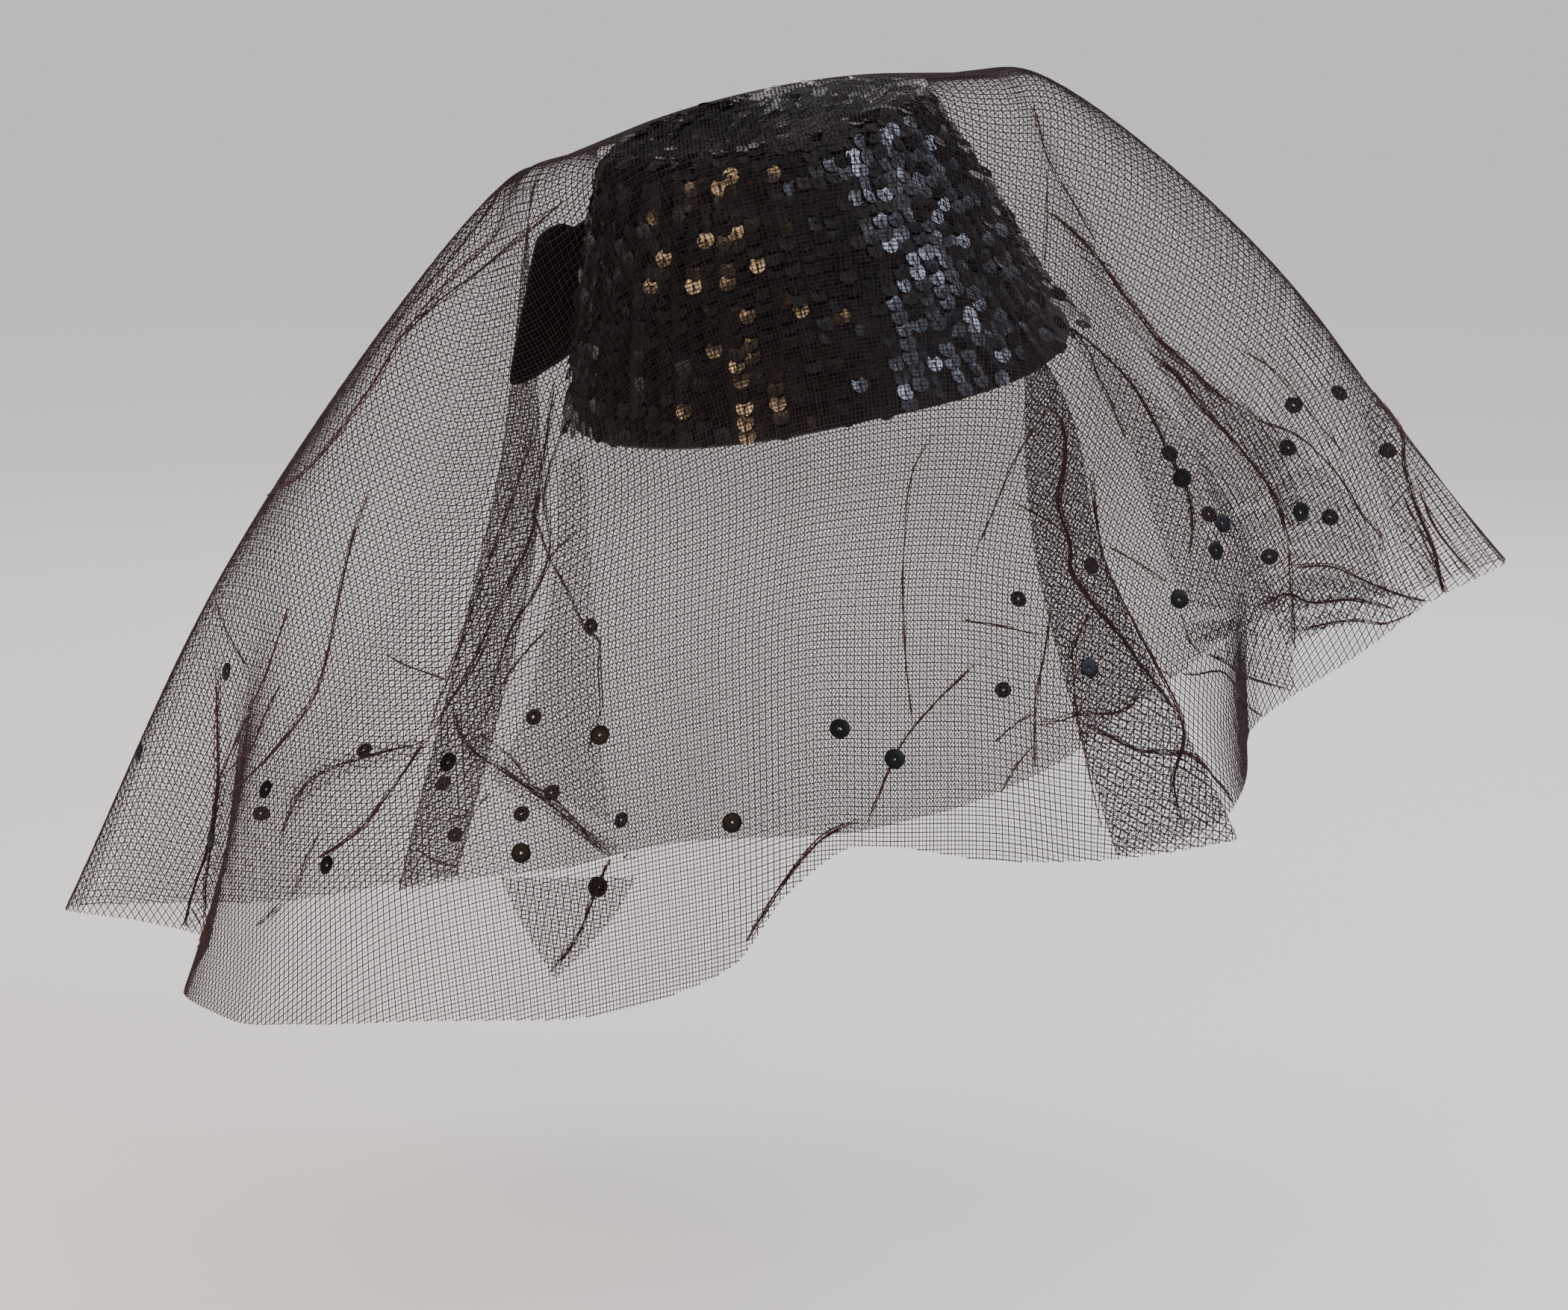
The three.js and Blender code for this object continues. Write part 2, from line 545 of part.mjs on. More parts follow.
// Where a sight line from the front meets the net, and which way the net faces there.
function seatOnNet(netMesh, row) {
  const elevation = VIEW.elevation * DEG;
  const towards = new THREE.Vector3(0, Math.cos(elevation), -Math.sin(elevation));
  const up = new THREE.Vector3(0, Math.sin(elevation), Math.cos(elevation));
  const eye = new THREE.Vector3(VIEW.right, 0, 0)
    .addScaledVector(up, VIEW.up).addScaledVector(towards, -VIEW.distance);
  const target = new THREE.Vector3(row.right, 0, 0).addScaledVector(up, row.up);
  const hits = new THREE.Raycaster(eye, target.sub(eye).normalize()).intersectObject(netMesh);
  const hit = row.side === 'near' ? hits[0] : hits[hits.length - 1];
  const normal = hit.face.normal.clone();
  const across = new THREE.Vector3().crossVectors(normal, up).normalize();
  const along = new THREE.Vector3().crossVectors(across, normal);
  // The net under the spangle isn't flat: the highest place under its edge carries it.
  const reach = 12;
  const lifts = Array.from({ length: SPANGLE.sides }, (_, i) => {
    const angle = (2 * Math.PI * i) / SPANGLE.sides;
    const from = hit.point.clone().addScaledVector(normal, reach)
      .addScaledVector(across, SPANGLE.radius * Math.cos(angle))
      .addScaledVector(along, SPANGLE.radius * Math.sin(angle));
    const below = new THREE.Raycaster(from, normal.clone().negate()).intersectObject(netMesh)[0];
    return below ? reach - below.distance : 0;
  });
  const lift = Math.max(0, ...lifts) + SPANGLE.seat + SPANGLE.thickness / 2;
  return { position: hit.point.clone().addScaledVector(normal, lift), normal };
}

// ---- the whole thing -------------------------------------------------------------------------

const fascinator = new THREE.Group();

const hat = new THREE.Group();
hat.quaternion.setFromRotationMatrix(hatTurn);
hat.add(
  piece('crown_side', crownSide(), spangledCloth),
  piece('crown_top', crownTop(), spangledCloth),
  piece('rim_binding', rimBinding(), boundCloth),
  bow(),
);

const netMesh = piece('veil', veil(), net);
fascinator.add(hat, netMesh);

SPANGLES.forEach((row, i) => {
  const seat = seatOnNet(netMesh, row);
  const disc = piece(`veil_spangle_${String(i + 1).padStart(2, '0')}`, washer(), spangle);
  disc.position.copy(seat.position);
  disc.quaternion.setFromUnitVectors(new THREE.Vector3(0, 0, 1), seat.normal);
  fascinator.add(disc);
});

export default fascinator;
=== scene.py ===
"""A sequinned pillbox fascinator, with its velvet bow and net veil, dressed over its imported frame.

The wearer faces -Y and +Z is up. Sizes are millimetres and degrees, apart from the studio's, which
are metres. Azimuth is counted round the hat from the front, positive towards +X, the wearer's left.
"""
import logging
import math
from dataclasses import dataclass, field, replace
from enum import Enum
from typing import Any, NamedTuple, Sequence

import bpy
import numpy as np
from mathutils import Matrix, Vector
from mathutils.bvhtree import BVHTree


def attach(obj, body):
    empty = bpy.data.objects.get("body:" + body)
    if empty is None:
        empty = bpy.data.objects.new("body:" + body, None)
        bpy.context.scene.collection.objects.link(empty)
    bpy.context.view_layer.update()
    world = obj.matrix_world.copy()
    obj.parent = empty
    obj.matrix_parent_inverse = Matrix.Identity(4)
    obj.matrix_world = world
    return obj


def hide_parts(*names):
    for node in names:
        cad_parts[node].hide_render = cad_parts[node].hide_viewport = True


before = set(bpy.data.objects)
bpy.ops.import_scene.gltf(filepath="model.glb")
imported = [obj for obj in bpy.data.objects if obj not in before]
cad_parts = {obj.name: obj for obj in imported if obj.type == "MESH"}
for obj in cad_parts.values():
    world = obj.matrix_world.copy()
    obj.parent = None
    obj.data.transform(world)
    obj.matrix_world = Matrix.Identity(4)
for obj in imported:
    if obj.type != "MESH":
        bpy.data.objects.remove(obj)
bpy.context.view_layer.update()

logging.basicConfig(level=logging.INFO, format="%(name)s: %(message)s")
log = logging.getLogger("fascinator")

MM = 0.001
BODY = "root"
# A wave texture of scale 1 draws this many half-waves in a unit, and each one stands for a thread.
HALF_WAVES = 6.3


class Slot(str, Enum):
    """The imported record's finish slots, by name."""

    SPANGLED_CLOTH = "spangled_cloth"
    VELVET = "velvet"
    NET = "net"
    SPANGLE = "spangle"


class Layer(Enum):
    """Which layer of the draped net a line of sight from the front meets."""

    NEAR = "near"
    FAR = "far"


# ---- curves and tables ------------------------------------------------------------------------


class FallRow(NamedTuple):
    """Where the net leaves the crown, in the hat's own frame, and where it is half-way down."""

    azimuth: float
    shoulder_r: float
    shoulder_h: float
    middle_r: float
    middle_z: float


class HemRow(NamedTuple):
    """One place on the net's cut edge."""

    azimuth: float
    radius: float
    height: float


class Panel(NamedTuple):
    """A panel of the net that falls from the crown, from one azimuth to another."""

    name: str
    low: float
    high: float


class Stray(NamedTuple):
    """A side of the hat where the loose ends of the strings of sequins stand off."""

    azimuth: float
    spread: float
    share: float


class Pleat(NamedTuple):
    """A flat pleat, where the net doubles back under itself.

    It starts at a level between 0, the middle of the crown's top, and 1, the hem. Its outer side is
    1 where the net at its greater azimuth lies outside, and -1 where it lies inside.
    """

    azimuth: float
    half_width: float
    overlap: float
    depth: float
    start: float
    outer_side: int


class Fold(NamedTuple):
    """A rounded fold that runs down the net from a level. A negative depth hangs in."""

    azimuth: float
    lean: float
    half_width: float
    depth: float
    start: float


class Crease(NamedTuple):
    """A sharp crease in which the net's threads bunch.

    Its line is how it shows from straight in front: millimetres to the right and up.
    """

    layer: Layer
    strands: int
    spread: float
    line: tuple[tuple[float, float], ...]


class Lap(NamedTuple):
    """A stretch of net folded flat over itself, between two lines given as a crease's is."""

    layer: Layer
    turn: float
    first: tuple[tuple[float, float], ...]
    second: tuple[tuple[float, float], ...]


FALL = (
    FallRow(-180, 84, 70, 121, -52), FallRow(-155, 92, 70, 123, -55),
    FallRow(-135, 95, 72, 129, -55), FallRow(-118, 92, 76, 126, -55),
    FallRow(-109, 88, 78, 140, -55), FallRow(-99, 86, 81, 198, -60),
    FallRow(-90, 86, 76, 192, -66), FallRow(-78, 89, 50, 172, -72),
    FallRow(-62, 89, 14, 148, -84), FallRow(-45, 88, 4, 132, -88),
    FallRow(-25, 87, 3, 122, -88), FallRow(0, 88, 3, 116, -68),
    FallRow(25, 91, 0, 112, -60), FallRow(45, 94, 0, 108, -54),
    FallRow(57, 96, 10, 112, -52), FallRow(68, 95, 42, 132, -24),
    FallRow(80, 93, 70, 155, 6), FallRow(92, 92, 78, 170, 12),
    FallRow(101, 92, 78, 158, 4), FallRow(114, 90, 76, 132, -20),
    FallRow(135, 88, 73, 120, -40), FallRow(158, 85, 71, 118, -50),
)

HEM = (
    HemRow(-180, 128, -184), HemRow(-155, 134, -188), HemRow(-138, 146, -191),
    HemRow(-124, 170, -195), HemRow(-112, 206, -198), HemRow(-104, 236, -194),
    HemRow(-97, 262, -190), HemRow(-90, 234, -187), HemRow(-84, 215, -189),
    HemRow(-77, 220, -199), HemRow(-66, 206, -199), HemRow(-55, 192, -193),
    HemRow(-42, 174, -186), HemRow(-28, 160, -183), HemRow(-19, 153, -177),
    HemRow(-10, 147, -166), HemRow(-3, 146, -141), HemRow(4, 146, -129),
    HemRow(20, 151, -135), HemRow(38, 150, -140), HemRow(50, 153, -138),
    HemRow(60, 152, -130), HemRow(72, 152, -116), HemRow(82, 178, -93),
    HemRow(89, 200, -79), HemRow(95, 236, -66), HemRow(101, 212, -80),
    HemRow(110, 174, -92), HemRow(122, 150, -118), HemRow(138, 136, -150),
    HemRow(158, 130, -174),
)

PLEATS = (
    Pleat(46.5, 6, 18, 6.5, 0.6, -1),
    Pleat(-124, 6, 12, 5.5, 0.69, -1),
)

FOLDS = (
    Fold(-88, 3, 6, -9, 0.76), Fold(-70, -4, 8, -7, 0.66), Fold(-134, -4, 9, -8, 0.66),
    Fold(-40, -4, 9, 5, 0.74), Fold(-4, 3, 7, 6, 0.74), Fold(26, 6, 8, -5, 0.72),
    Fold(70, 4, 7, -5, 0.5), Fold(82, 4, 7, 3, 0.58), Fold(108, 2, 7, -8, 0.5),
    Fold(140, 4, 9, 7, 0.64), Fold(168, 3, 9, -7, 0.64), Fold(-158, -3, 9, 7, 0.64),
)

PANELS = (
    Panel("net_fall_right_back", -180, -122),
    Panel("net_fall_right_side", -122, -70),
    Panel("net_fall_front", -70, 38),
    Panel("net_fall_left_side", 38, 105),
    Panel("net_fall_left_back", 105, 180),
)

STRAYS = (Stray(80, 24, 1.0), Stray(-82, 18, 0.45))

NEAR, FAR = Layer.NEAR, Layer.FAR

CREASES = (
    # The fall at the wearer's right: the narrow pleat near its edge and the fan above it.
    Crease(NEAR, 7, 1.0, ((-197, -96), (-197, -120), (-197, -136), (-200, -156), (-205, -172),
                          (-211, -194), (-219, -208))),
    Crease(NEAR, 4, 0.9, ((-196, -136), (-198, -150), (-201, -170), (-202, -189), (-211, -197))),
    Crease(NEAR, 3, 0.6, ((-197, -136), (-187, -115), (-180, -98), (-173, -77))),
    Crease(NEAR, 3, 0.6, ((-196, -135), (-185, -124), (-182, -116), (-176, -104))),
    Crease(NEAR, 4, 0.7, ((-193, -141), (-179, -127), (-165, -108), (-161, -96), (-157, -76),
                          (-153, -58), (-147, -40))),
    Crease(FAR, 2, 0.6, ((-201, -69), (-195, -86), (-187, -99))),
    Crease(NEAR, 5, 0.9, ((-127, -121), (-141, -141), (-151, -153), (-165, -163))),
    Crease(FAR, 4, 0.8, ((-130, -123), (-150, -128), (-167, -135), (-173, -144), (-177, -156))),
    Crease(FAR, 3, 1.0, ((-164, -152), (-169, -163), (-174, -175), (-184, -184))),
    Crease(NEAR, 4, 1.2, ((-100, 61), (-105, 45), (-118, 32), (-136, 11), (-147, -7),
                          (-168, -34), (-181, -42), (-194, -50))),
    Crease(NEAR, 4, 1.0, ((-79, 58), (-89, 50), (-105, 37), (-118, 27), (-140, 8))),
    Crease(FAR, 3, 0.8, ((-104, 61), (-112, 48), (-122, 36), (-142, 12), (-155, -8))),
    # The net bunched beneath the bow.
    Crease(FAR, 6, 1.3, ((-86, -2), (-89, -22), (-93, -46), (-95, -57), (-105, -77), (-115, -100),
                         (-126, -117), (-128, -122))),
    Crease(FAR, 4, 0.9, ((-92, -12), (-98, -34), (-102, -46), (-110, -67), (-119, -94),
                         (-126, -113), (-128, -121))),
    Crease(FAR, 4, 0.9, ((-80, -10), (-90, -40), (-88, -60), (-94, -75), (-100, -84), (-107, -104),
                         (-112, -118))),
    Crease(FAR, 2, 0.7, ((-79, -53), (-88, -62), (-94, -75))),
    Crease(FAR, 3, 0.8, ((-94, -46), (-88, -62), (-83, -71), (-76, -86), (-72, -89), (-72, -98),
                         (-72, -114), (-75, -124), (-75, -136))),
    Crease(FAR, 3, 0.7, ((-89, -86), (-100, -98), (-112, -119))),
    Crease(FAR, 6, 1.1, ((-68, -162), (-87, -144), (-104, -132), (-116, -123), (-121, -110))),
    Crease(FAR, 4, 0.9, ((-111, -120), (-100, -129), (-94, -137), (-87, -141), (-78, -151),
                         (-68, -160))),
    Crease(FAR, 5, 0.9, ((-68, -162), (-73, -174), (-78, -187), (-87, -199))),
    Crease(FAR, 2, 0.5, ((-142, -94), (-134, -98), (-123, -102))),
    Crease(FAR, 2, 0.5, ((-132, -158), (-126, -162), (-118, -164))),
    Crease(FAR, 3, 1.4, ((-108, -140), (-115, -147), (-126, -149))),
    # The fall in front of the face.
    Crease(NEAR, 2, 0.4, ((40, -19), (32, -34), (29, -60), (29, -86), (32, -118))),
    Crease(NEAR, 3, 0.5, ((52, -98), (40, -110), (29, -123), (20, -142), (16, -152))),
    Crease(NEAR, 6, 1.1, ((14, -150), (4, -154), (-6, -164), (-14, -176), (-22, -189))),
    Crease(NEAR, 2, 0.4, ((77, -12), (67, -27), (59, -45), (52, -62))),
    Crease(NEAR, 2, 0.5, ((65, -44), (73, -48), (81, -53))),
    Crease(NEAR, 2, 0.4, ((49, -83), (61, -85), (73, -88))),
    Crease(NEAR, 3, 0.6, ((77, -78), (76, -90), (73, -105), (72, -114), (72, -125), (72, -134))),
    Crease(NEAR, 2, 0.8, ((71, -114), (65, -118), (59, -123))),
    Crease(NEAR, 2, 0.6, ((71, -125), (66, -131), (61, -140))),
    # The pleat that falls from the fringe.
    Crease(NEAR, 8, 1.2, ((80, -4), (78, -10), (82, -21), (82, -32), (80, -44), (84, -59),
                          (84, -66), (89, -74), (95, -82), (101, -89), (107, -98), (115, -108),
                          (121, -116))),
    Crease(NEAR, 5, 0.8, ((90, -30), (93, -53), (96, -66), (105, -85), (112, -98), (121, -117),
                          (121, -124), (118, -134), (118, -139), (121, -151))),
    Crease(NEAR, 5, 0.9, ((89, -117), (98, -122), (106, -126), (116, -127), (124, -128),
                          (132, -136), (139, -145))),
    Crease(NEAR, 3, 1.3, ((72, -117), (81, -116), (88, -114), (98, -114), (104, -111),
                          (107, -105))),
    Crease(NEAR, 2, 0.5, ((84, -87), (86, -113), (90, -133), (94, -151))),
    Crease(NEAR, 3, 0.7, ((90, -81), (86, -89), (84, -96))),
    # The fall at the wearer's left.
    Crease(FAR, 7, 0.9, ((78, 17), (86, 13), (97, 4), (106, -6), (113, -18), (118, -29), (123, -39),
                         (125, -50), (124, -63))),
    Crease(FAR, 3, 0.8, ((83, 16), (89, 9), (95, -4), (104, -25))),
    Crease(NEAR, 6, 1.0, ((72, 55), (82, 48), (93, 36), (102, 24), (113, 10), (124, 0), (132, -8),
                          (141, -14))),
    Crease(NEAR, 3, 0.6, ((141, -14), (147, -17), (159, -22), (167, -29), (175, -39), (181, -49),
                          (186, -55), (186, -65))),
    Crease(NEAR, 7, 1.1, ((110, 4), (117, 0), (128, -13), (139, -25), (146, -34), (152, -43),
                          (156, -57))),
    Crease(NEAR, 3, 0.8, ((156, -57), (157, -76), (158, -93))),
    Crease(NEAR, 7, 1.0, ((184, -8), (193, -21), (194, -31), (198, -45), (204, -60), (208, -76),
                          (212, -81))),
    Crease(NEAR, 4, 0.8, ((198, -36), (204, -52), (212, -62), (218, -69), (226, -77))),
    Crease(NEAR, 3, 0.8, ((194, -42), (203, -62), (209, -76))),
    Crease(NEAR, 4, 0.9, ((156, -65), (170, -65), (179, -69), (188, -73), (198, -76), (210, -78))),
    Crease(NEAR, 4, 0.8, ((146, -78), (156, -74), (163, -77), (177, -76), (190, -79))),
    Crease(NEAR, 3, 0.7, ((159, -86), (177, -83), (188, -84), (198, -80), (208, -77))),
    Crease(FAR, 3, 0.7, ((121, -81), (125, -91), (135, -97), (141, -101), (157, -106))),
    Crease(FAR, 3, 0.7, ((114, -100), (125, -101), (134, -100), (142, -111), (149, -116))),
    Crease(FAR, 2, 0.5, ((139, 8), (152, 0), (167, -18), (176, -29))),
    Crease(FAR, 2, 0.5, ((77, 66), (77, 48), (76, 34))),
    Crease(FAR, 3, 0.8, ((72, 90), (78, 69), (86, 55), (94, 42))),
    Crease(FAR, 2, 0.6, ((96, -58), (106, -63), (118, -71))),
)

LAPS = (
    Lap(FAR, 50, ((-77, -27), (-74, -75), (-72, -118), (-68, -150)),
        ((-84, -30), (-88, -75), (-96, -112), (-104, -132))),
    Lap(FAR, 35, ((-121, -110), (-104, -128), (-80, -147), (-58, -162)),
        ((-118, -124), (-106, -136), (-88, -148), (-68, -162))),
    Lap(FAR, 10, ((-104, -168), (-99, -179), (-93, -190), (-87, -200)),
        ((-59, -168), (-65, -179), (-74, -190), (-86, -202))),
    Lap(FAR, 15, ((-130, -121), (-150, -125), (-168, -133), (-176, -143)),
        ((-130, -127), (-150, -132), (-166, -140), (-173, -150))),
    Lap(NEAR, 60, ((-197, -132), (-200, -156), (-206, -180), (-219, -207)),
        ((-194, -134), (-196, -156), (-200, -182), (-207, -200))),
    Lap(NEAR, 70, ((110, 4), (126, -10), (142, -27), (156, -54)),
        ((112, 10), (130, -6), (148, -17), (162, -50))),
    Lap(FAR, 35, ((82, 48), (98, 22), (116, -4), (130, -40)),
        ((92, 42), (118, 8), (146, -14), (172, -36))),
    Lap(FAR, 12, ((84, 12), (104, -24), (112, -50), (122, -78)),
        ((100, 4), (124, -22), (140, -50), (156, -80))),
    Lap(FAR, 55, ((130, -40), (140, -60), (148, -78), (156, -92)),
        ((172, -36), (182, -50), (186, -62), (190, -74))),
    Lap(NEAR, 25, ((146, -77), (160, -68), (180, -70), (208, -77)),
        ((124, -90), (150, -88), (180, -84), (206, -79))),
    Lap(NEAR, 40, ((184, -8), (194, -30), (203, -58), (212, -80)),
        ((180, -14), (186, -36), (196, -62), (210, -81))),
    Lap(FAR, 15, ((121, -84), (134, -97), (146, -102), (158, -106)),
        ((136, -82), (144, -86), (150, -88), (157, -88))),
)


def wrapped(angle: np.ndarray) -> np.ndarray:
    """Angles in degrees, brought to between -180 and 180."""
    return (angle + 540.0) % 360.0 - 180.0


def eased(x: np.ndarray) -> np.ndarray:
    """A smooth step from 0 to 1."""
    held = np.clip(x, 0.0, 1.0)
    return held * held * (3.0 - 2.0 * held)


def swell(azimuth: Any, middle: float, spread: float) -> Any:
    """A smooth swell round one azimuth: 1 at its middle, fading on both sides."""
    return np.exp(-((wrapped(azimuth - middle) / spread) ** 2))


def ring_points(radius: Any, azimuth: Any, height: Any) -> np.ndarray:
    """Points by radius, azimuth in degrees and height, in the last axis."""
    turn = np.radians(azimuth)
    parts = np.broadcast_arrays(radius * np.sin(turn), -radius * np.cos(turn), height)
    return np.stack(parts, axis=-1).astype(float)


def run_along(line: np.ndarray) -> np.ndarray:
    """How far along a line each of its points is."""
    return np.concatenate([[0], np.cumsum(np.linalg.norm(np.diff(line, axis=0), axis=1))])


def turned_axes(turn: float) -> np.ndarray:
    """The axes of flat cloth that is turned by so many radians."""
    return np.array([[math.cos(turn), math.sin(turn)], [-math.sin(turn), math.cos(turn)]])


def unit(vectors: np.ndarray) -> np.ndarray:
    """Vectors of length 1, along the last axis."""
    length = np.linalg.norm(vectors, axis=-1, keepdims=True)
    return vectors / np.maximum(length, 1e-12)


class RingTable:
    """A value by azimuth all the way round, joined by cubics that never overshoot a row."""

    def __init__(self, rows: Sequence[Any], column: str) -> None:
        """Reads one column of the rows.

        Args:
            rows: Rows in order of azimuth, each with an azimuth and the column.
            column: The name of the column to read.
        """
        self.azimuths = np.array([row.azimuth for row in rows], float)
        self.values = np.array([getattr(row, column) for row in rows], float)
        self.spans = (np.roll(self.azimuths, -1) - self.azimuths) % 360.0
        rises = (np.roll(self.values, -1) - self.values) / self.spans
        before = np.roll(rises, 1)
        safe = np.where(before + rises == 0, 1.0, before + rises)
        self.slopes = np.where(before * rises > 0, 2.0 * before * rises / safe, 0.0)

    def at(self, azimuth: np.ndarray) -> np.ndarray:
        """The table's value at each azimuth.

        Args:
            azimuth: Degrees, from -180 to 180.

        Returns:
            One value for each azimuth.
        """
        here = np.searchsorted(self.azimuths, azimuth, side="right") - 1
        there = (here + 1) % len(self.azimuths)
        width = self.spans[here]
        x = ((azimuth - self.azimuths[here]) % 360.0) / width
        x2, x3 = x * x, x * x * x
        return (
            self.values[here] * (2 * x3 - 3 * x2 + 1)
            + self.slopes[here] * width * (x3 - 2 * x2 + x)
            + self.values[there] * (3 * x2 - 2 * x3)
            + self.slopes[there] * width * (x3 - x2)
        )


def centripetal(knots: np.ndarray, levels: np.ndarray) -> np.ndarray:
    """Smooth lines through rows of knots.

    Args:
        knots: An array of lines, each a row of points.
        levels: Places along every line, from 0 at its first knot to 1 at its last.

    Returns:
        Points by level and then by line.
    """
    count = knots.shape[1]
    first = 2 * knots[:, :1] - knots[:, 1:2]
    last = 2 * knots[:, -1:] - knots[:, -2:-1]
    padded = np.concatenate([first, knots, last], axis=1)
    place = levels * (count - 1)
    segment = np.minimum(place.astype(int), count - 2)
    t = (place - segment)[None, :, None]
    p0, p1, p2, p3 = (padded[:, segment + step] for step in range(4))
    d0, d1, d2 = (
        np.sum((b - a) ** 2, axis=-1, keepdims=True) ** 0.25
        for a, b in ((p0, p1), (p1, p2), (p2, p3))
    )
    m1 = ((p1 - p0) / d0 - (p2 - p0) / (d0 + d1) + (p2 - p1) / d1) * d1
    m2 = ((p2 - p1) / d1 - (p3 - p1) / (d1 + d2) + (p3 - p2) / d2) * d1
    c2 = -3 * p1 + 3 * p2 - 2 * m1 - m2
    c3 = 2 * p1 - 2 * p2 + m1 + m2
    return np.swapaxes(p1 + t * (m1 + t * (c2 + t * c3)), 0, 1)


# ---- meshes -----------------------------------------------------------------------------------


def new_piece(
    name: str,
    vertices: np.ndarray,
    faces: Sequence[np.ndarray],
    material: bpy.types.Material,
    smooth: bool = True,
    flat: np.ndarray | None = None,
    tone: np.ndarray | None = None,
) -> bpy.types.Object:
    """Makes one mesh piece that rides on the hat.

    Args:
        name: The piece's name.
        vertices: Points in millimetres.
        faces: Arrays of corner numbers, one row a face, each array with its own count of corners.
        material: What it is made of.
        smooth: Whether it is shaded smooth.
        flat: Each vertex's place on a flat map from 0 to 1, if the piece has one.
        tone: A number for each vertex, by which its material varies.

    Returns:
        The piece.
    """
    mesh = bpy.data.meshes.new(name)
    corners = np.concatenate([part.ravel() for part in faces]).astype(np.int32)
    totals = np.concatenate([np.full(len(part), part.shape[1]) for part in faces])
    mesh.vertices.add(len(vertices))
    mesh.vertices.foreach_set("co", (vertices * MM).astype(np.float32).ravel())
    mesh.loops.add(len(corners))
    mesh.loops.foreach_set("vertex_index", corners)
    mesh.polygons.add(len(totals))
    mesh.polygons.foreach_set("loop_start", (np.cumsum(totals) - totals).astype(np.int32))
    mesh.polygons.foreach_set("loop_total", totals.astype(np.int32))
    mesh.polygons.foreach_set("use_smooth", np.full(len(totals), smooth))
    if flat is not None:
        layer = mesh.uv_layers.new(name="OFBake")
        layer.uv.foreach_set("vector", flat[corners].astype(np.float32).ravel())
    if tone is not None:
        shade = mesh.attributes.new("tone", "FLOAT", "POINT")
        shade.data.foreach_set("value", tone.astype(np.float32))
    mesh.update(calc_edges=True)
    mesh.validate()
    mesh.materials.append(material)
    piece = bpy.data.objects.new(name, mesh)
    bpy.context.scene.collection.objects.link(piece)
    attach(piece, BODY)
    log.info("%s: %d triangles", name, int(np.sum(totals - 2)))
    return piece


def dress_node(name: str, material: bpy.types.Material) -> None:
    """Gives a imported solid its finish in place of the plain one.

    Args:
        name: The node's name.
        material: Its material.
    """
    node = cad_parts[name]
    for spot in node.material_slots:
        spot.material = material
    if not node.material_slots:
        node.data.materials.append(material)
    log.info("%s: dressed as %s", name, material.name)


def grid_faces(rows: int, columns: int, closed_columns: bool = False) -> np.ndarray:
    """Square faces of a grid whose points are numbered along each row.

    Args:
        rows: How many rows of points there are.
        columns: How many points there are in a row.
        closed_columns: Whether each row's last point joins its first.

    Returns:
        Four corner numbers a face.
    """
    across = np.arange(columns if closed_columns else columns - 1)
    beside = (across + 1) % columns
    down = np.arange(rows - 1)[:, None] * columns
    return np.stack(
        [down + across, down + beside, down + columns + beside, down + columns + across], axis=-1
    ).reshape(-1, 4)


def joined(parts: Sequence[Sequence[np.ndarray]]) -> tuple[np.ndarray, list[np.ndarray]]:
    """Joins parts into one mesh.

    Args:
        parts: Parts that each begin with their vertices and their faces.

    Returns:
        All the vertices, and the faces of each part with its corners renumbered to match.
    """
    starts = np.cumsum([0] + [len(part[0]) for part in parts])
    vertices = np.concatenate([part[0] for part in parts])
    return vertices, [part[1] + start for part, start in zip(parts, starts)]


def tube_shell(rings: np.ndarray, capped: bool) -> tuple[np.ndarray, np.ndarray]:
    """A closed mesh along rings of points, all with the same count.

    Args:
        rings: Points by ring and then round the ring.
        capped: Whether the ends are closed by caps and not joined to each other.

    Returns:
        Its vertices and its four-cornered faces.
    """
    count, around = rings.shape[:2]
    faces = grid_faces(count, around, closed_columns=True)
    if capped:
        half = around // 2
        low = np.arange(half - 1)
        cap = np.stack([low, low + 1, around - 2 - low, around - 1 - low], axis=-1)
        faces = np.concatenate([faces, cap[:, ::-1], cap + (count - 1) * around])
    else:
        spot = np.arange(around)
        beside = (spot + 1) % around
        last = (count - 1) * around
        faces = np.concatenate(
            [faces, np.stack([last + spot, last + beside, beside, spot], axis=-1)]
        )
    return rings.reshape(-1, 3), faces


# ---- finishes ---------------------------------------------------------------------------------


def linear(code: str) -> tuple[float, float, float, float]:
    """A screen colour such as '#1a2b3c' as linear red, green, blue and alpha."""
    parts = (int(code[i : i + 2], 16) / 255 for i in (1, 3, 5))
    red, green, blue = (
        c / 12.92 if c <= 0.04045 else ((c + 0.055) / 1.055) ** 2.4 for c in parts
    )
    return red, green, blue, 1.0


def add_node(
    tree: bpy.types.NodeTree,
    kind: str,
    settings: dict[str, Any] | None = None,
    links: dict[str, Any] | None = None,
) -> bpy.types.Node:
    """Adds one shader node.

    Args:
        tree: The node tree.
        kind: The node's type.
        settings: Values by socket or property name. 'stops' gives a ramp's places and colours.
        links: The output that each named socket is linked from.

    Returns:
        The node.
    """
    node = tree.nodes.new(kind)
    for name, value in (settings or {}).items():
        if name == "stops":
            elements = node.color_ramp.elements
            while len(elements) < len(value):
                elements.new(0.5)
            for element, (position, colour) in zip(elements, value):
                element.position, element.color = position, colour
        elif name in node.inputs:
            node.inputs[name].default_value = value
        else:
            setattr(node, name, value)
    for name, source in (links or {}).items():
        tree.links.new(source, node.inputs[name])
    return node


def per_mm(size: float) -> float:
    """The texture scale whose pattern repeats about every so many millimetres."""
    return 1.0 / (size * MM)


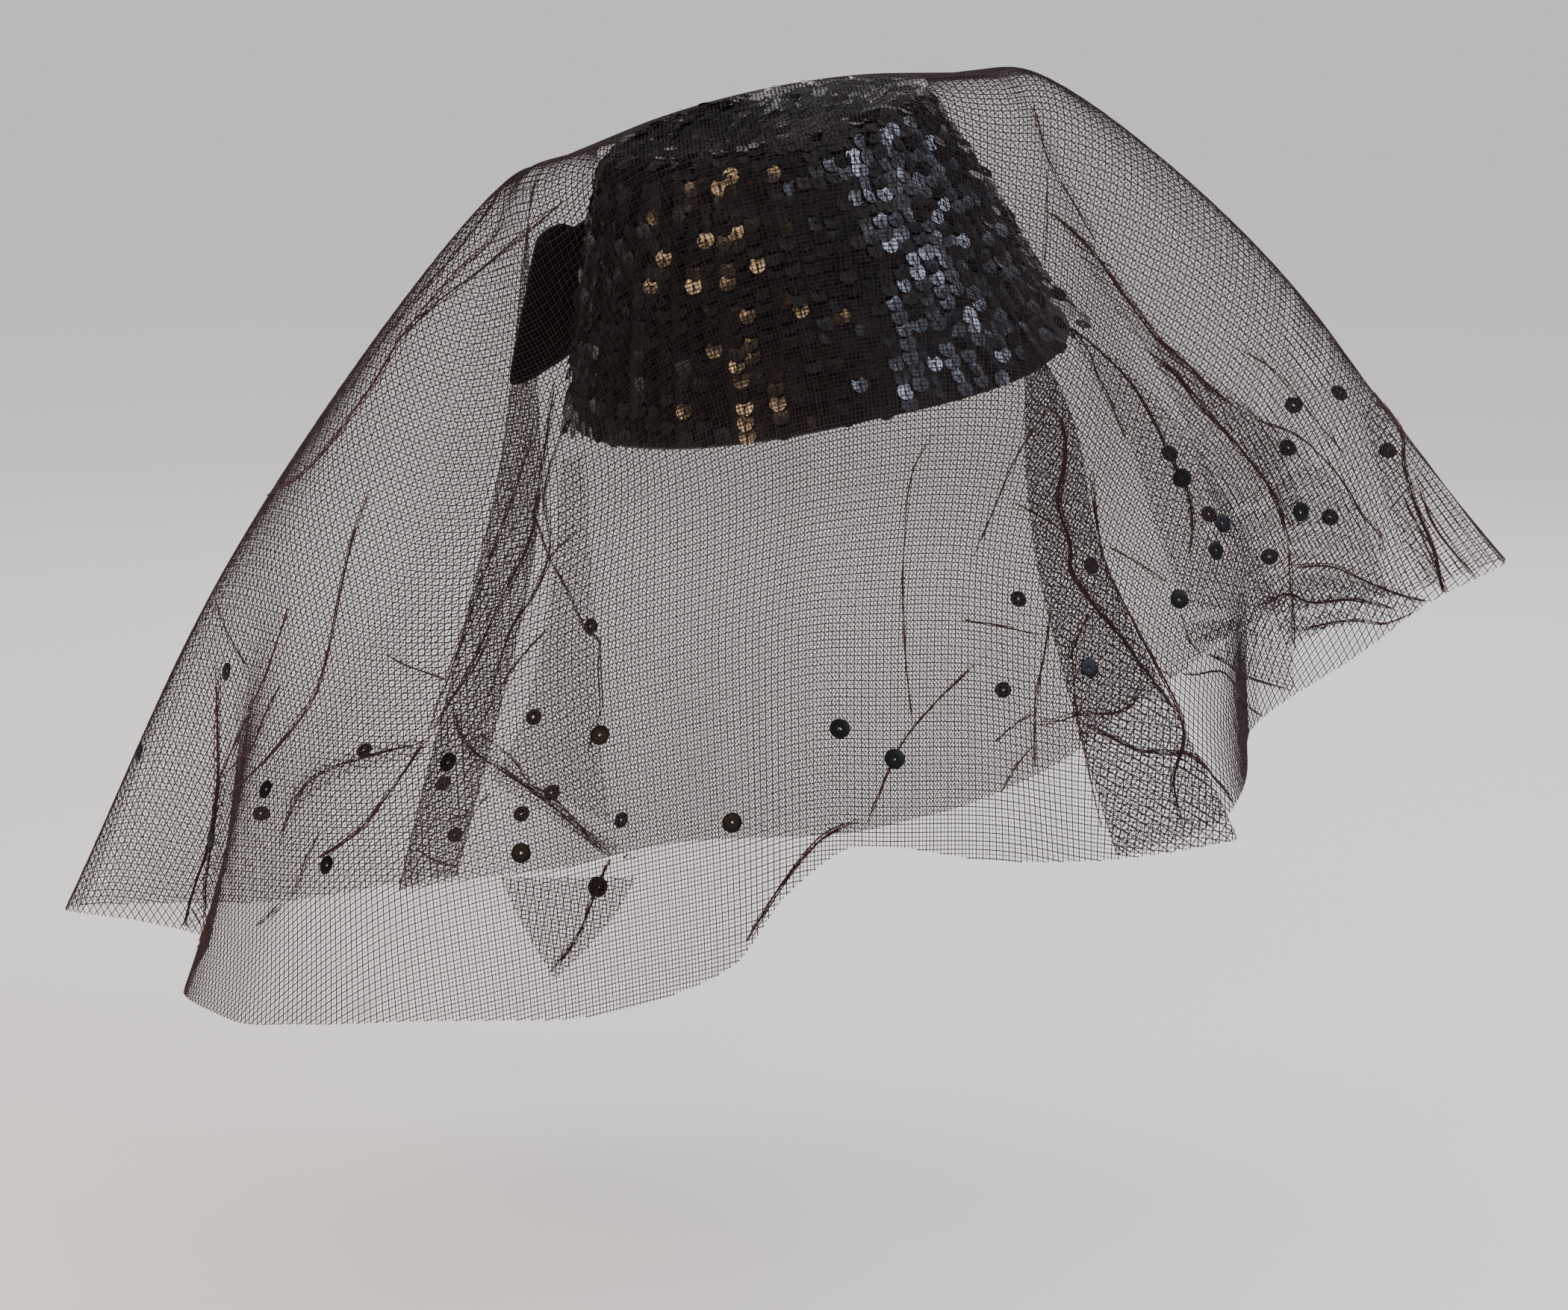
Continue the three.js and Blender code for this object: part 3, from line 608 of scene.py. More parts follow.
@dataclass(frozen=True)
class Finish:
    """What every finish has: a name, two tones that it wanders between, and its gloss."""

    name: str
    dark: str
    light: str
    roughness: float
    ior: float = 1.5
    specular: float = 0.5

    def material(self) -> bpy.types.Material:
        """Builds the material.

        Returns:
            The material, with its nodes.
        """
        made = bpy.data.materials.new(self.name)
        made.use_nodes = True
        tree = made.node_tree
        tree.nodes.clear()
        surface = add_node(
            tree,
            "ShaderNodeBsdfPrincipled",
            {
                "Base Color": linear(self.dark), "Roughness": self.roughness, "IOR": self.ior,
                "Specular IOR Level": self.specular,
            },
        )
        self.dress(tree, surface)
        add_node(tree, "ShaderNodeOutputMaterial", links={"Surface": self.coat(tree, surface)})
        return made

    def dress(self, tree: bpy.types.NodeTree, surface: bpy.types.Node) -> None:
        """Adds the pattern, bump and sheen. Each finish has its own."""
        raise NotImplementedError

    def coat(self, tree: bpy.types.NodeTree, surface: bpy.types.Node) -> Any:
        """What the material's output takes: the plain surface, if nothing is added to it."""
        return surface.outputs["BSDF"]

    def tones(self, tree: bpy.types.NodeTree, factor: Any) -> Any:
        """A colour that runs from dark to light with the factor."""
        stops = ((0.0, linear(self.dark)), (1.0, linear(self.light)))
        ramp = add_node(tree, "ShaderNodeValToRGB", {"stops": stops}, {"Fac": factor})
        return ramp.outputs["Color"]

    def wander(
        self,
        tree: bpy.types.NodeTree,
        surface: bpy.types.Node,
        patch: float,
        detail: float,
        roughness: float = 0.5,
    ) -> None:
        """Lets the tone wander between dark and light in soft patches.

        Args:
            tree: The material's nodes.
            surface: The shader that takes the tone.
            patch: How wide a patch is, in millimetres.
            detail: How many finer patches lie within each.
            roughness: How strongly the finer ones show.
        """
        place = add_node(tree, "ShaderNodeTexCoord")
        patches = add_node(
            tree,
            "ShaderNodeTexNoise",
            {"Scale": per_mm(patch), "Detail": detail, "Roughness": roughness},
            {"Vector": place.outputs["Object"]},
        )
        tree.links.new(self.tones(tree, patches.outputs["Fac"]), surface.inputs["Base Color"])


@dataclass(frozen=True)
class SequinFilm(Finish):
    """Black PVC film, stamped into discs: a hard gloss, with no two discs quite alike.

    The stitch that holds a disc is matt thread, and has the tone -1.
    """

    scuff_size: float = 1.1
    scuffing: float = 0.14
    thread_roughness: float = 0.8

    def dress(self, tree: bpy.types.NodeTree, surface: bpy.types.Node) -> None:
        """Gives each sequin its own tone and light scuffs."""
        tone = add_node(tree, "ShaderNodeAttribute", {"attribute_name": "tone"})
        place = add_node(tree, "ShaderNodeTexCoord")
        scuffs = add_node(
            tree,
            "ShaderNodeTexNoise",
            {"Scale": per_mm(self.scuff_size), "Detail": 3.0, "Roughness": 0.6},
            {"Vector": place.outputs["Object"]},
        )
        film = add_node(
            tree,
            "ShaderNodeMapRange",
            {
                "From Min": 0.35, "From Max": 0.75,
                "To Min": self.roughness, "To Max": self.roughness + self.scuffing,
            },
            {"Value": scuffs.outputs["Fac"]},
        )
        stitch = add_node(
            tree,
            "ShaderNodeMapRange",
            {"From Min": -1.0, "From Max": 0.0, "To Min": self.thread_roughness, "To Max": 0.0},
            {"Value": tone.outputs["Fac"]},
        )
        gloss = add_node(
            tree,
            "ShaderNodeMath",
            {"operation": "MAXIMUM"},
            {0: film.outputs["Result"], 1: stitch.outputs["Result"]},
        )
        tree.links.new(self.tones(tree, tone.outputs["Fac"]), surface.inputs["Base Color"])
        tree.links.new(gloss.outputs["Value"], surface.inputs["Roughness"])


@dataclass(frozen=True)
class WovenCloth(Finish):
    """Plain-woven black cloth: a fine even grain that only shows close to."""

    thread: float = 0.45
    relief: float = 0.12
    sheen: float = 0.15
    wear: float = 14.0

    def dress(self, tree: bpy.types.NodeTree, surface: bpy.types.Node) -> None:
        """Crosses two sets of threads and lets dust and wear vary the tone."""
        place = add_node(tree, "ShaderNodeTexCoord")
        sets = [
            add_node(
                tree,
                "ShaderNodeTexWave",
                {
                    "bands_direction": direction, "Scale": per_mm(self.thread) / HALF_WAVES,
                    "Distortion": 1.5, "Detail": 1.0,
                },
                {"Vector": place.outputs["Object"]},
            )
            for direction in ("X", "Z")
        ]
        weave = add_node(
            tree,
            "ShaderNodeMath",
            {"operation": "MULTIPLY"},
            {0: sets[0].outputs["Fac"], 1: sets[1].outputs["Fac"]},
        )
        bump = add_node(
            tree,
            "ShaderNodeBump",
            {"Strength": 0.5, "Distance": self.relief * MM},
            {"Height": weave.outputs["Value"]},
        )
        self.wander(tree, surface, self.wear, detail=4.0)
        tree.links.new(bump.outputs["Normal"], surface.inputs["Normal"])
        surface.inputs["Sheen Weight"].default_value = self.sheen


@dataclass(frozen=True)
class CutPile(Finish):
    """Black silk velvet, woven double and cut: it drinks light and pales where the pile leans.

    Its tufts are drawn at about twice their true spacing, so that they show.
    """

    specular: float = 0.1
    pile: float = 0.5
    relief: float = 0.2
    brushing: float = 9.0
    sheen: float = 0.5
    sheen_roughness: float = 0.35
    sheen_tint: str = "#5a5560"

    def dress(self, tree: bpy.types.NodeTree, surface: bpy.types.Node) -> None:
        """Brushes the pile in soft patches, over the grain of its tufts."""
        place = add_node(tree, "ShaderNodeTexCoord")
        tufts = add_node(
            tree,
            "ShaderNodeTexNoise",
            {"Scale": per_mm(self.pile), "Detail": 1.0},
            {"Vector": place.outputs["Object"]},
        )
        bump = add_node(
            tree,
            "ShaderNodeBump",
            {"Strength": 0.7, "Distance": self.relief * MM},
            {"Height": tufts.outputs["Fac"]},
        )
        self.wander(tree, surface, self.brushing, detail=5.0, roughness=0.7)
        tree.links.new(bump.outputs["Normal"], surface.inputs["Normal"])
        surface.inputs["Sheen Weight"].default_value = self.sheen
        surface.inputs["Sheen Roughness"].default_value = self.sheen_roughness
        surface.inputs["Sheen Tint"].default_value = linear(self.sheen_tint)


@dataclass(frozen=True)
class NetYarn(Finish):
    """Fine nylon yarn of a warp-knitted net, dyed a soft black that light comes through as plum."""

    specular: float = 0.3
    patch: float = 26.0
    glow: str = "#82686b"
    clear: float = 0.26

    def dress(self, tree: bpy.types.NodeTree, surface: bpy.types.Node) -> None:
        """Lets the dye wander a little over the cloth."""
        self.wander(tree, surface, self.patch, detail=2.0)

    def coat(self, tree: bpy.types.NodeTree, surface: bpy.types.Node) -> Any:
        """Lets light through the yarn."""
        through = add_node(tree, "ShaderNodeBsdfTranslucent", {"Color": linear(self.glow)})
        return add_node(
            tree,
            "ShaderNodeMixShader",
            {"Fac": self.clear},
            {1: surface.outputs["BSDF"], 2: through.outputs["BSDF"]},
        ).outputs["Shader"]


@dataclass(frozen=True)
class MattPaper(Finish):
    """Pale matt background paper, with the faint cloud of its pulp."""

    cloud: float = 900.0

    def dress(self, tree: bpy.types.NodeTree, surface: bpy.types.Node) -> None:
        """Clouds the paper's tone very slightly."""
        self.wander(tree, surface, self.cloud, detail=3.0)


# Stamped PVC film, glossy and black all through: each disc flashes whole or stays dark.
SEWN_SEQUIN = SequinFilm("sequin_film_black_stamped", "#060607", "#141416", 0.13, 1.6)
# The same film in bigger flat discs, scuffed on the net, so that they read as plain black dots.
LOOSE_SEQUIN = SequinFilm("spangle_film_black_scuffed", "#040405", "#0a0a0c", 0.4, 1.4, 0.3)
# Woven cotton under the sequins: a dull black ground that the gaps between the discs show.
HAT_CLOTH = WovenCloth("hat_cloth_black_woven", "#050505", "#0d0c0d", 0.8, 1.45)
# Finer woven cotton, cut on the bias and pressed: the rim's even line with a slight sheen.
BIAS_BINDING = WovenCloth(
    "bias_binding_black_woven", "#060607", "#100f11", 0.7, 1.45, thread=0.35
)
# Cut silk velvet: the deepest black of the hat, paler only where the pile leans.
BOW_VELVET = CutPile("bow_velvet_black_cut_pile", "#030303", "#080709", 0.9, 1.45)
# Knitted nylon net, dyed: it greys what lies behind, and never hides it.
VEIL_YARN = NetYarn("net_yarn_nylon_knitted", "#21191b", "#2e2427", 0.6, 1.53)
# Painted shade in the creases: the same yarn bunched, darker and redder, and browner where light
# comes through.
CREASE_SHADED_YARN = NetYarn(
    "net_yarn_nylon_bunched_painted_shade", "#1e1315", "#2c1d20", 0.6, 1.53, glow="#8a4d52", clear=0.3
)
# Plain matt paper: a pale ground that the net can be read against.
FLOOR_PAPER = MattPaper("background_paper_matt", "#e9e6e2", "#efece9", 0.9, 1.45)


# ---- crown ------------------------------------------------------------------------------------


@dataclass
class Sequin:
    """A slightly cupped sequin, with its hole and the stitch that runs from it to the edge."""

    radius: float = 2.8
    hole: float = 0.45
    cup: float = 0.06
    sides: int = 12
    stitch: float = 0.38
    stitch_rise: float = 0.12
    knot_rise: float = 0.1
    map_cell: float = 2.3

    def scatter(
        self, places: np.ndarray, frames: np.ndarray, tones: np.ndarray
    ) -> tuple[np.ndarray, np.ndarray, np.ndarray, np.ndarray]:
        """Copies the sequin to many places.

        Args:
            places: The middle of each.
            frames: Its three axes: sideways, down the string and out.
            tones: A number from 0 to 1 for each.

        Returns:
            Vertices, four-cornered faces, places on a flat map and tones of all vertices. A
            stitch has the tone -1.
        """
        angle = 2 * np.pi * (np.arange(self.sides) + 0.5) / self.sides
        level = np.full(self.sides, self.cup)
        inner = np.stack([self.hole * np.cos(angle), self.hole * np.sin(angle), 0 * level], -1)
        outer = np.stack([self.radius * np.cos(angle), self.radius * np.sin(angle), level], -1)
        half, low, top = self.stitch / 2, self.knot_rise, self.cup + self.stitch_rise
        stitch = np.array(
            [[half, 0, low], [-half, 0, low], [-half, self.radius, top], [half, self.radius, top]]
        )
        one = np.concatenate([inner, outer, stitch])
        disc = grid_faces(2, self.sides, closed_columns=True)[:, ::-1]
        faces = np.concatenate([disc, 2 * self.sides + np.array([[3, 2, 1, 0]])])
        count = len(places)
        vertices = places[:, None] + np.einsum("vk,nkc->nvc", one, frames)
        all_faces = faces[None] + (np.arange(count) * len(one))[:, None, None]
        cells = math.ceil(math.sqrt(count))
        corner = np.stack([np.arange(count) % cells, np.arange(count) // cells], axis=-1)
        flat = (corner[:, None] + 0.5 + one[None, :, :2] / (self.map_cell * self.radius)) / cells
        tone = np.repeat(tones[:, None], len(one), axis=1)
        tone[:, -4:] = -1.0
        return (
            vertices.reshape(-1, 3), all_faces.reshape(-1, 4), flat.reshape(-1, 2), tone.ravel(),
        )


@dataclass(frozen=True)
class Unevenness:
    """How far hand sewing strays, as spreads.

    Strings and sways are degrees round the hat, ends and steps are millimetres down it, and tilts
    and yaws are the degrees by which a disc turns.
    """

    string: float = 0.35
    end: float = 0.5
    step: float = 0.25
    sway: float = 0.16
    tilt: float = 7.5
    yaw: float = 8.0


@dataclass
class Crown:
    """The stiffened crown with its strings of sequins, its domed top and its rim binding.

    The strings hang in a fringe round one azimuth, gape where the side sags, and stand off in loose
    ends at the hat's two sides. A sequin on the side faces so many degrees above the level, and one
    that is tilted stands proud of the cloth by a share of its own depth.
    """

    rim_radius: float = 83.0
    height: float = 90.0
    cone_angle: float = 19.0
    belly: float = 2.2
    corner_radius: float = 13.0
    top_rise: float = 5.0
    binding_height: float = 3.2
    roll: float = -12.0
    pitch: float = 9.5
    fringe_azimuth: float = 52.0
    fringe_spread: float = 38.0
    fringe_flare: float = 4.0
    fringe_height: float = 26.0
    fringe_drop: float = 1.8
    fringe_overlap: float = 1.2
    scallop: float = 1.6
    scallops: float = 7.0
    strings: int = 80
    first_sequin: tuple[float, float] = (1.2, 3.2)
    sequin_step: float = 4.3
    row_step: float = 4.8
    facing: float = 27.0
    least_facing: float = 4.0
    tilt: float = 12.0
    sag: float = 13.0
    sag_azimuth: float = -12.0
    sag_spread: float = 34.0
    sag_height: float = 45.0
    sag_reach: float = 14.0
    loose_end: float = 6.5
    looseness: tuple[float, float] = (0.4, 1.5)
    lift: float = 0.35
    proud: float = 0.55
    sequin: Sequin = field(default_factory=Sequin)
    uneven: Unevenness = Unevenness()

    def __post_init__(self) -> None:
        """Works out the turn of the worn hat and the flat of its top."""
        roll, pitch = math.radians(self.roll), math.radians(self.pitch)
        about_y = np.array(
            [[math.cos(roll), 0, math.sin(roll)], [0, 1, 0], [-math.sin(roll), 0, math.cos(roll)]]
        )
        about_x = np.array(
            [
                [1, 0, 0],
                [0, math.cos(pitch), -math.sin(pitch)],
                [0, math.sin(pitch), math.cos(pitch)],
            ]
        )
        self.turn = about_y @ about_x
        self.cone = math.radians(self.cone_angle)
        self.shoulder = self.height - self.top_rise
        self.corner_height = self.shoulder - self.corner_radius
        self.flat_radius = self.rim_radius - (
            self.corner_radius + self.corner_height * math.sin(self.cone)
        ) / math.cos(self.cone)

    def worn(self, points: np.ndarray) -> np.ndarray:
        """Points or directions of the level hat, turned to where they are on the worn one."""
        return points @ self.turn.T

    def section(self, gap: float, side_steps: int, corner_steps: int) -> np.ndarray:
        """The crown's section, moved out by a gap.

        Args:
            gap: Millimetres outside the crown.
            side_steps: Steps up the side.
            corner_steps: Steps round the corner.

        Returns:
            Radius and height of each point, from the rim up to the flat of the top.
        """
        turned = self.corner_radius + gap
        side_top = self.corner_height + turned * math.sin(self.cone)
        at = side_top * np.arange(side_steps) / side_steps
        radius = (
            self.rim_radius
            - at * math.tan(self.cone)
            + self.belly * np.sin(math.pi * at / side_top)
            + gap / math.cos(self.cone)
        )
        angle = np.linspace(self.cone, math.pi / 2, corner_steps + 1)
        corner = np.stack(
            [
                self.flat_radius + turned * np.cos(angle),
                self.corner_height + turned * np.sin(angle),
            ],
            axis=-1,
        )
        return np.concatenate([np.stack([radius, at], axis=-1), corner])

    def fringe(self, azimuth: Any) -> Any:
        """How strongly the hanging fringe shows at an azimuth."""
        return swell(azimuth, self.fringe_azimuth, self.fringe_spread)

    def flare(self, azimuth: Any, height: Any) -> Any:
        """How far the fringe carries the side outwards."""
        rest = np.maximum(0.0, 1.0 - height / self.fringe_height)
        return self.fringe_flare * self.fringe(azimuth) * rest**2

    def stray(self, azimuth: Any, height: Any) -> Any:
        """How far the loose ends of the strings at the hat's two sides stand off."""
        at_sides = sum(s.share * swell(azimuth, s.azimuth, s.spread) for s in STRAYS)
        rest = np.maximum(0.0, 1.0 - height / self.fringe_height)
        return self.loose_end * at_sides * rest**2

    def build(self) -> None:
        """Dresses the crown's solids and sews the sequins on."""
        cloth, binding = HAT_CLOTH.material(), BIAS_BINDING.material()
        film = SEWN_SEQUIN.material()
        dress_node("crown_side", cloth)
        dress_node("crown_top", cloth)
        dress_node("rim_binding", binding)
        self.sew_side(film)
        self.sew_top(film)

    def sew_side(self, film: bpy.types.Material) -> bpy.types.Object:
        """Sews the strings that run up the side and over the corner.

        Args:
            film: The sequins' material.

        Returns:
            The joined sequins.
        """
        rng = np.random.default_rng(11)
        uneven = self.uneven
        profile = self.section(0.0, side_steps=24, corner_steps=10)
        run, nudge = run_along(profile), 0.5
        sewn = []
        for string in range(self.strings):
            azimuth = 360.0 * string / self.strings - 180.0 + rng.normal(0, uneven.string)
            scallop = self.scallop * abs(math.sin(math.radians(azimuth * self.scallops)))
            end = (
                self.binding_height - self.fringe_overlap
                - (self.fringe_drop + scallop) * float(self.fringe(azimuth))
                + rng.normal(0, uneven.end)
            )
            along = np.arange(end + rng.uniform(*self.first_sequin), run[-1], self.sequin_step)
            along = along + rng.normal(0, uneven.step, len(along))
            hangs = along < 0
            sway = azimuth + rng.normal(0, uneven.sway, len(along))
            stray = rng.uniform(*self.looseness)
            # A second point, a little further up, tells which way the string runs.
            points = []
            for at in (along, along + nudge):
                radius = np.interp(at, run, profile[:, 0])
                height = np.where(hangs, at, np.interp(at, run, profile[:, 1]))
                off = self.flare(sway, height) + stray * self.stray(sway, height)
                points.append(ring_points(radius + off, sway, height))
            here, ahead = points
            up = unit(ahead - here)
            out = unit(np.cross(ring_points(1.0, sway + 90.0, 0.0), up))
            lean = np.degrees(np.arcsin(out[:, 2]))
            sag = self.sag * np.exp(-(((here[:, 2] - self.sag_height) / self.sag_reach) ** 2))
            sag = sag * swell(sway, self.sag_azimuth, self.sag_spread)
            tilt = np.maximum(self.facing - lean, self.least_facing) + sag
            sewn.append((here, out, -up, tilt))
        return self.sew("sequins_side", sewn, rng, film)

    def sew_top(self, film: bpy.types.Material) -> bpy.types.Object:
        """Sews the rings of sequins on the domed top.

        Args:
            film: The sequins' material.

        Returns:
            The joined sequins.
        """
        rng = np.random.default_rng(12)
        edge, upright = self.flat_radius, np.array([0, 0, 1.0])
        sewn = []
        # From just inside the flat's edge to just short of its middle.
        for radius in np.arange(edge - 0.5, 1.0, -self.row_step):
            count = max(5, round(2 * math.pi * radius / self.sequin_step))
            azimuth = 360.0 * (np.arange(count) + rng.random()) / count
            wander = radius + rng.normal(0, self.uneven.step, count)
            height = self.shoulder + self.top_rise * (1 - (wander / edge) ** 2)
            slope = -2 * self.top_rise * wander / edge**2
            radial = ring_points(1.0, azimuth, 0.0)
            place = ring_points(wander, azimuth, height)
            out = unit(upright - radial * slope[:, None])
            along = ring_points(1.0, azimuth + 90.0, 0.0)
            sewn.append((place, out, along, np.full(count, self.tilt)))
        return self.sew("sequins_top", sewn, rng, film)

    def sew(
        self,
        name: str,
        sewn: list[tuple[np.ndarray, ...]],
        rng: np.random.Generator,
        film: bpy.types.Material,
    ) -> bpy.types.Object:
        """Sews sequins on at their places.

        Args:
            name: The piece's name.
            sewn: For each string, its sequins' places on the level hat, the crown's outward
                direction and the string's own at each, and how far the free edges stand out.
            rng: The source of the small irregularities.
            film: The sequins' material.

        Returns:
            The joined sequins.
        """
        place, out, down, tilted = (np.concatenate(column) for column in zip(*sewn))
        count = len(place)
        tilt = np.radians(tilted + rng.normal(0.0, self.uneven.tilt, count))[:, None]
        yaw = np.radians(rng.normal(0.0, self.uneven.yaw, count))[:, None]
        side = unit(np.cross(down, out))
        face = unit(out * np.cos(tilt) - down * np.sin(tilt) + side * np.sin(yaw))
        down = unit(down - face * np.sum(down * face, axis=1, keepdims=True))
        side = np.cross(down, face)
        lift = self.sequin.radius * np.sin(np.abs(tilt)) * self.proud + self.lift
        vertices, faces, flat, tone = self.sequin.scatter(
            place + out * lift, np.stack([side, down, face], axis=1), rng.random(count)
        )
        return new_piece(
            name, self.worn(vertices), [faces], film,
            smooth=False, flat=flat, tone=tone,
        )


# ---- bow --------------------------------------------------------------------------------------


@dataclass
class Bow:
    """The velvet bow at the wearer's right: two loops of wide ribbon and the band round them.

    The knot pinches the ribbon to a share of its width. The loops bend back round the crown on the
    sweep's radius, the slant draws their ends in towards the top, and the skew lifts the layer
    behind. A few gathers run out of the knot, and the ribbon's edges roll back.
    """

    crown: Crown
    azimuth: float = -135.0
    height: float = 26.0
    roll: float = 9.0
    stand_off: float = 0.3
    half_length: float = 53.0
    ribbon: float = 49.0
    wall: float = 1.6
    plump: float = 17.0
    lift: float = 1.2
    pinch: float = 0.59
    sweep: float = 210.0
    slant: float = 0.05
    skew: float = 15.0
    knot_half: float = 9.0
    knot_height: float = 40.0
    knot_depth: float = 17.3
    knot_gap: float = 0.3
    knot_lift: float = 0.2
    knot_squareness: float = 0.6
    knot_rounding: float = 1.2
    knot_pleat: float = 0.45
    gather: float = 0.9
    gathers: float = 3.4
    gather_phase: float = 0.6
    gather_reach: float = 15.0
    edge_roll: float = 0.5
    edge_share: float = 0.12
    # Half the loop's section: distance from the knot's middle, and half its depth there.
    loop: tuple[tuple[float, float], ...] = (
        (4, 2.1), (9, 2.6), (17, 4.9), (27, 7.4), (36, 7.2), (44, 5.4), (50, 3.2), (53, 0),
    )
    stations: int = 72
    across: int = 26

    def placed(self, local: np.ndarray) -> np.ndarray:
        """Points in the bow's own axes, brought to where the bow sits on the worn hat.

        Args:
            local: Points along the ribbon, up it and away from the crown.

        Returns:
            The points in the frame.
        """
        crown = self.crown
        radial = ring_points(1.0, self.azimuth, 0.0)
        along = ring_points(1.0, self.azimuth + 90.0, 0.0)
        rise = np.array([0, 0, 1.0])
        up = -radial * math.sin(crown.cone) + rise * math.cos(crown.cone)
        out = radial * math.cos(crown.cone) + rise * math.sin(crown.cone)
        roll = math.radians(self.roll)
        first = along * math.cos(roll) + up * math.sin(roll)
        second = -along * math.sin(roll) + up * math.cos(roll)
        seat = crown.rim_radius - self.height * math.tan(crown.cone) + crown.belly
        origin = ring_points(seat, self.azimuth, self.height) + out * self.stand_off
        basis = np.stack([first, second, out])
        return crown.worn(origin + local @ basis)

    def hoop(self, stations: int) -> tuple[np.ndarray, np.ndarray]:
        """The loop's section: out along its front, round its end and back behind.

        Args:
            stations: How many points it has.

        Returns:
            The points, and the outward direction at each.
        """
        rows = np.array(self.loop)
        ring = np.concatenate([rows, (rows * [1, -1])[-2::-1]])
        place = np.linspace(0, len(ring) - 1, stations)
        segment = np.minimum(place.astype(int), len(ring) - 2)
        t = (place - segment)[:, None]
        before, after = np.maximum(segment - 1, 0), np.minimum(segment + 2, len(ring) - 1)
        p0, p1, p2, p3 = ring[before], ring[segment], ring[segment + 1], ring[after]
        v0, v1 = (p2 - p0) / 2, (p3 - p1) / 2
        c3, c2 = 2 * p1 - 2 * p2 + v0 + v1, -3 * p1 + 3 * p2 - 2 * v0 - v1
        points = c3 * t**3 + c2 * t**2 + v0 * t + p1
        tangent = unit(3 * c3 * t**2 + 2 * c2 * t + v0)
        return points, np.stack([-tangent[:, 1], tangent[:, 0]], axis=-1)

    def build_loop(self, name: str, direction: int, node: str) -> bpy.types.Object:
        """Makes one loop, with the ribbon's gathers running out of the knot.

        Args:
            name: The piece's name.
            direction: 1 for the loop that shows, -1 for the one behind.
            node: The solid that it stands for.

        Returns:
            The loop.
        """
        points, normals = self.hoop(self.stations)
        along = points[:, 0]
        # The ribbon opens from the knot, and is at its full width half-way out.
        opened = eased((along - self.loop[0][0]) / (self.half_length * 0.5))
        half = self.ribbon / 2 * (self.pinch + (1 - self.pinch) * opened)
        bend = along**2 / (2 * self.sweep)
        share = np.linspace(-1, 1, self.across)
        # The gathers start under the band's edge and fade on the way out.
        phase = self.gather_phase * direction
        gathers = self.gather * np.cos(share * math.pi * self.gathers + phase)
        clear = along - self.knot_half
        fade = np.exp(-np.maximum(clear, 0) / self.gather_reach) * eased((clear + 1.0) / 5.0)
        # The ribbon's two edges roll back a little, most at the end of the loop.
        rolled = np.maximum(0, np.abs(share) - (1 - self.edge_share)) / self.edge_share
        roll = self.edge_roll * rolled * opened[:, None]
        # The ribbon is wound a little askew, so its layer behind stands higher at the crown.
        behind = eased((np.arange(self.stations) / (self.stations - 1) - 0.5) / 0.2)
        rise = self.skew * (1 - along / self.half_length) * opened * behind

        def sheet(inset: float) -> np.ndarray:
            """The ribbon's surface, moved in from its outside."""
            push = (gathers[None] * fade[:, None]) - roll - inset
            y = half[:, None] * share[None] + rise[:, None]
            x = direction * (along[:, None] * (1 - self.slant * share) + normals[:, :1] * push)
            z = self.plump / 2 + self.lift + points[:, 1:] + normals[:, 1:] * push - bend[:, None]
            return np.stack([x, y, z], axis=-1)

        outer, inner = sheet(0.0), sheet(self.wall)[:, ::-1]
        rings = np.concatenate([outer, inner], axis=1)
        if direction < 0:
            rings = rings[::-1]
        vertices, faces = tube_shell(rings, capped=True)
        piece = new_piece(name, self.placed(vertices), [faces], self.velvet)
        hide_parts(node)
        return piece

    def build_knot(self) -> bpy.types.Object:
        """Makes the band round the middle, drawn into soft pleats.

        Returns:
            The band.
        """
        rows, around = 25, 64
        half_height = self.knot_height / 2 + self.wall + self.knot_gap
        half_depth = self.knot_depth / 2
        angle = np.linspace(0, 2 * np.pi, around, endpoint=False)
        rise, level = np.sin(angle), np.cos(angle)
        reach = np.sign(level) * np.abs(level) ** self.knot_squareness

        def ring(across: float, inset: float) -> np.ndarray:
            """One turn of the band."""
            return np.stack(
                [
                    np.full(around, across),
                    rise * (half_height - inset),
                    half_depth + self.knot_lift + reach * (half_depth - inset),
                ],
                axis=-1,
            )

        share = np.linspace(-1, 1, rows)
        pleats = self.knot_pleat * (1 - np.cos(share * math.pi * 3.0)) / 2
        outer = [
            ring(x * self.knot_half, self.knot_rounding * x * x + pleat)
            for x, pleat in zip(share, pleats)
        ]
        under = self.knot_rounding + self.wall
        inner = [ring(x * self.knot_half, under) for x in (1.0, 0.0, -1.0)]
        vertices, faces = tube_shell(np.array(outer + inner), capped=False)
        piece = new_piece("bow_band", self.placed(vertices), [faces], self.velvet)
        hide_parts("bow_knot")
        return piece

    def build(self) -> None:
        """Makes the whole bow."""
        self.velvet = BOW_VELVET.material()
        self.build_loop("bow_ribbon_outer", 1, "bow_loop_outer")
        self.build_loop("bow_ribbon_hidden", -1, "bow_loop_hidden")
        self.build_knot()


# ---- veil -------------------------------------------------------------------------------------


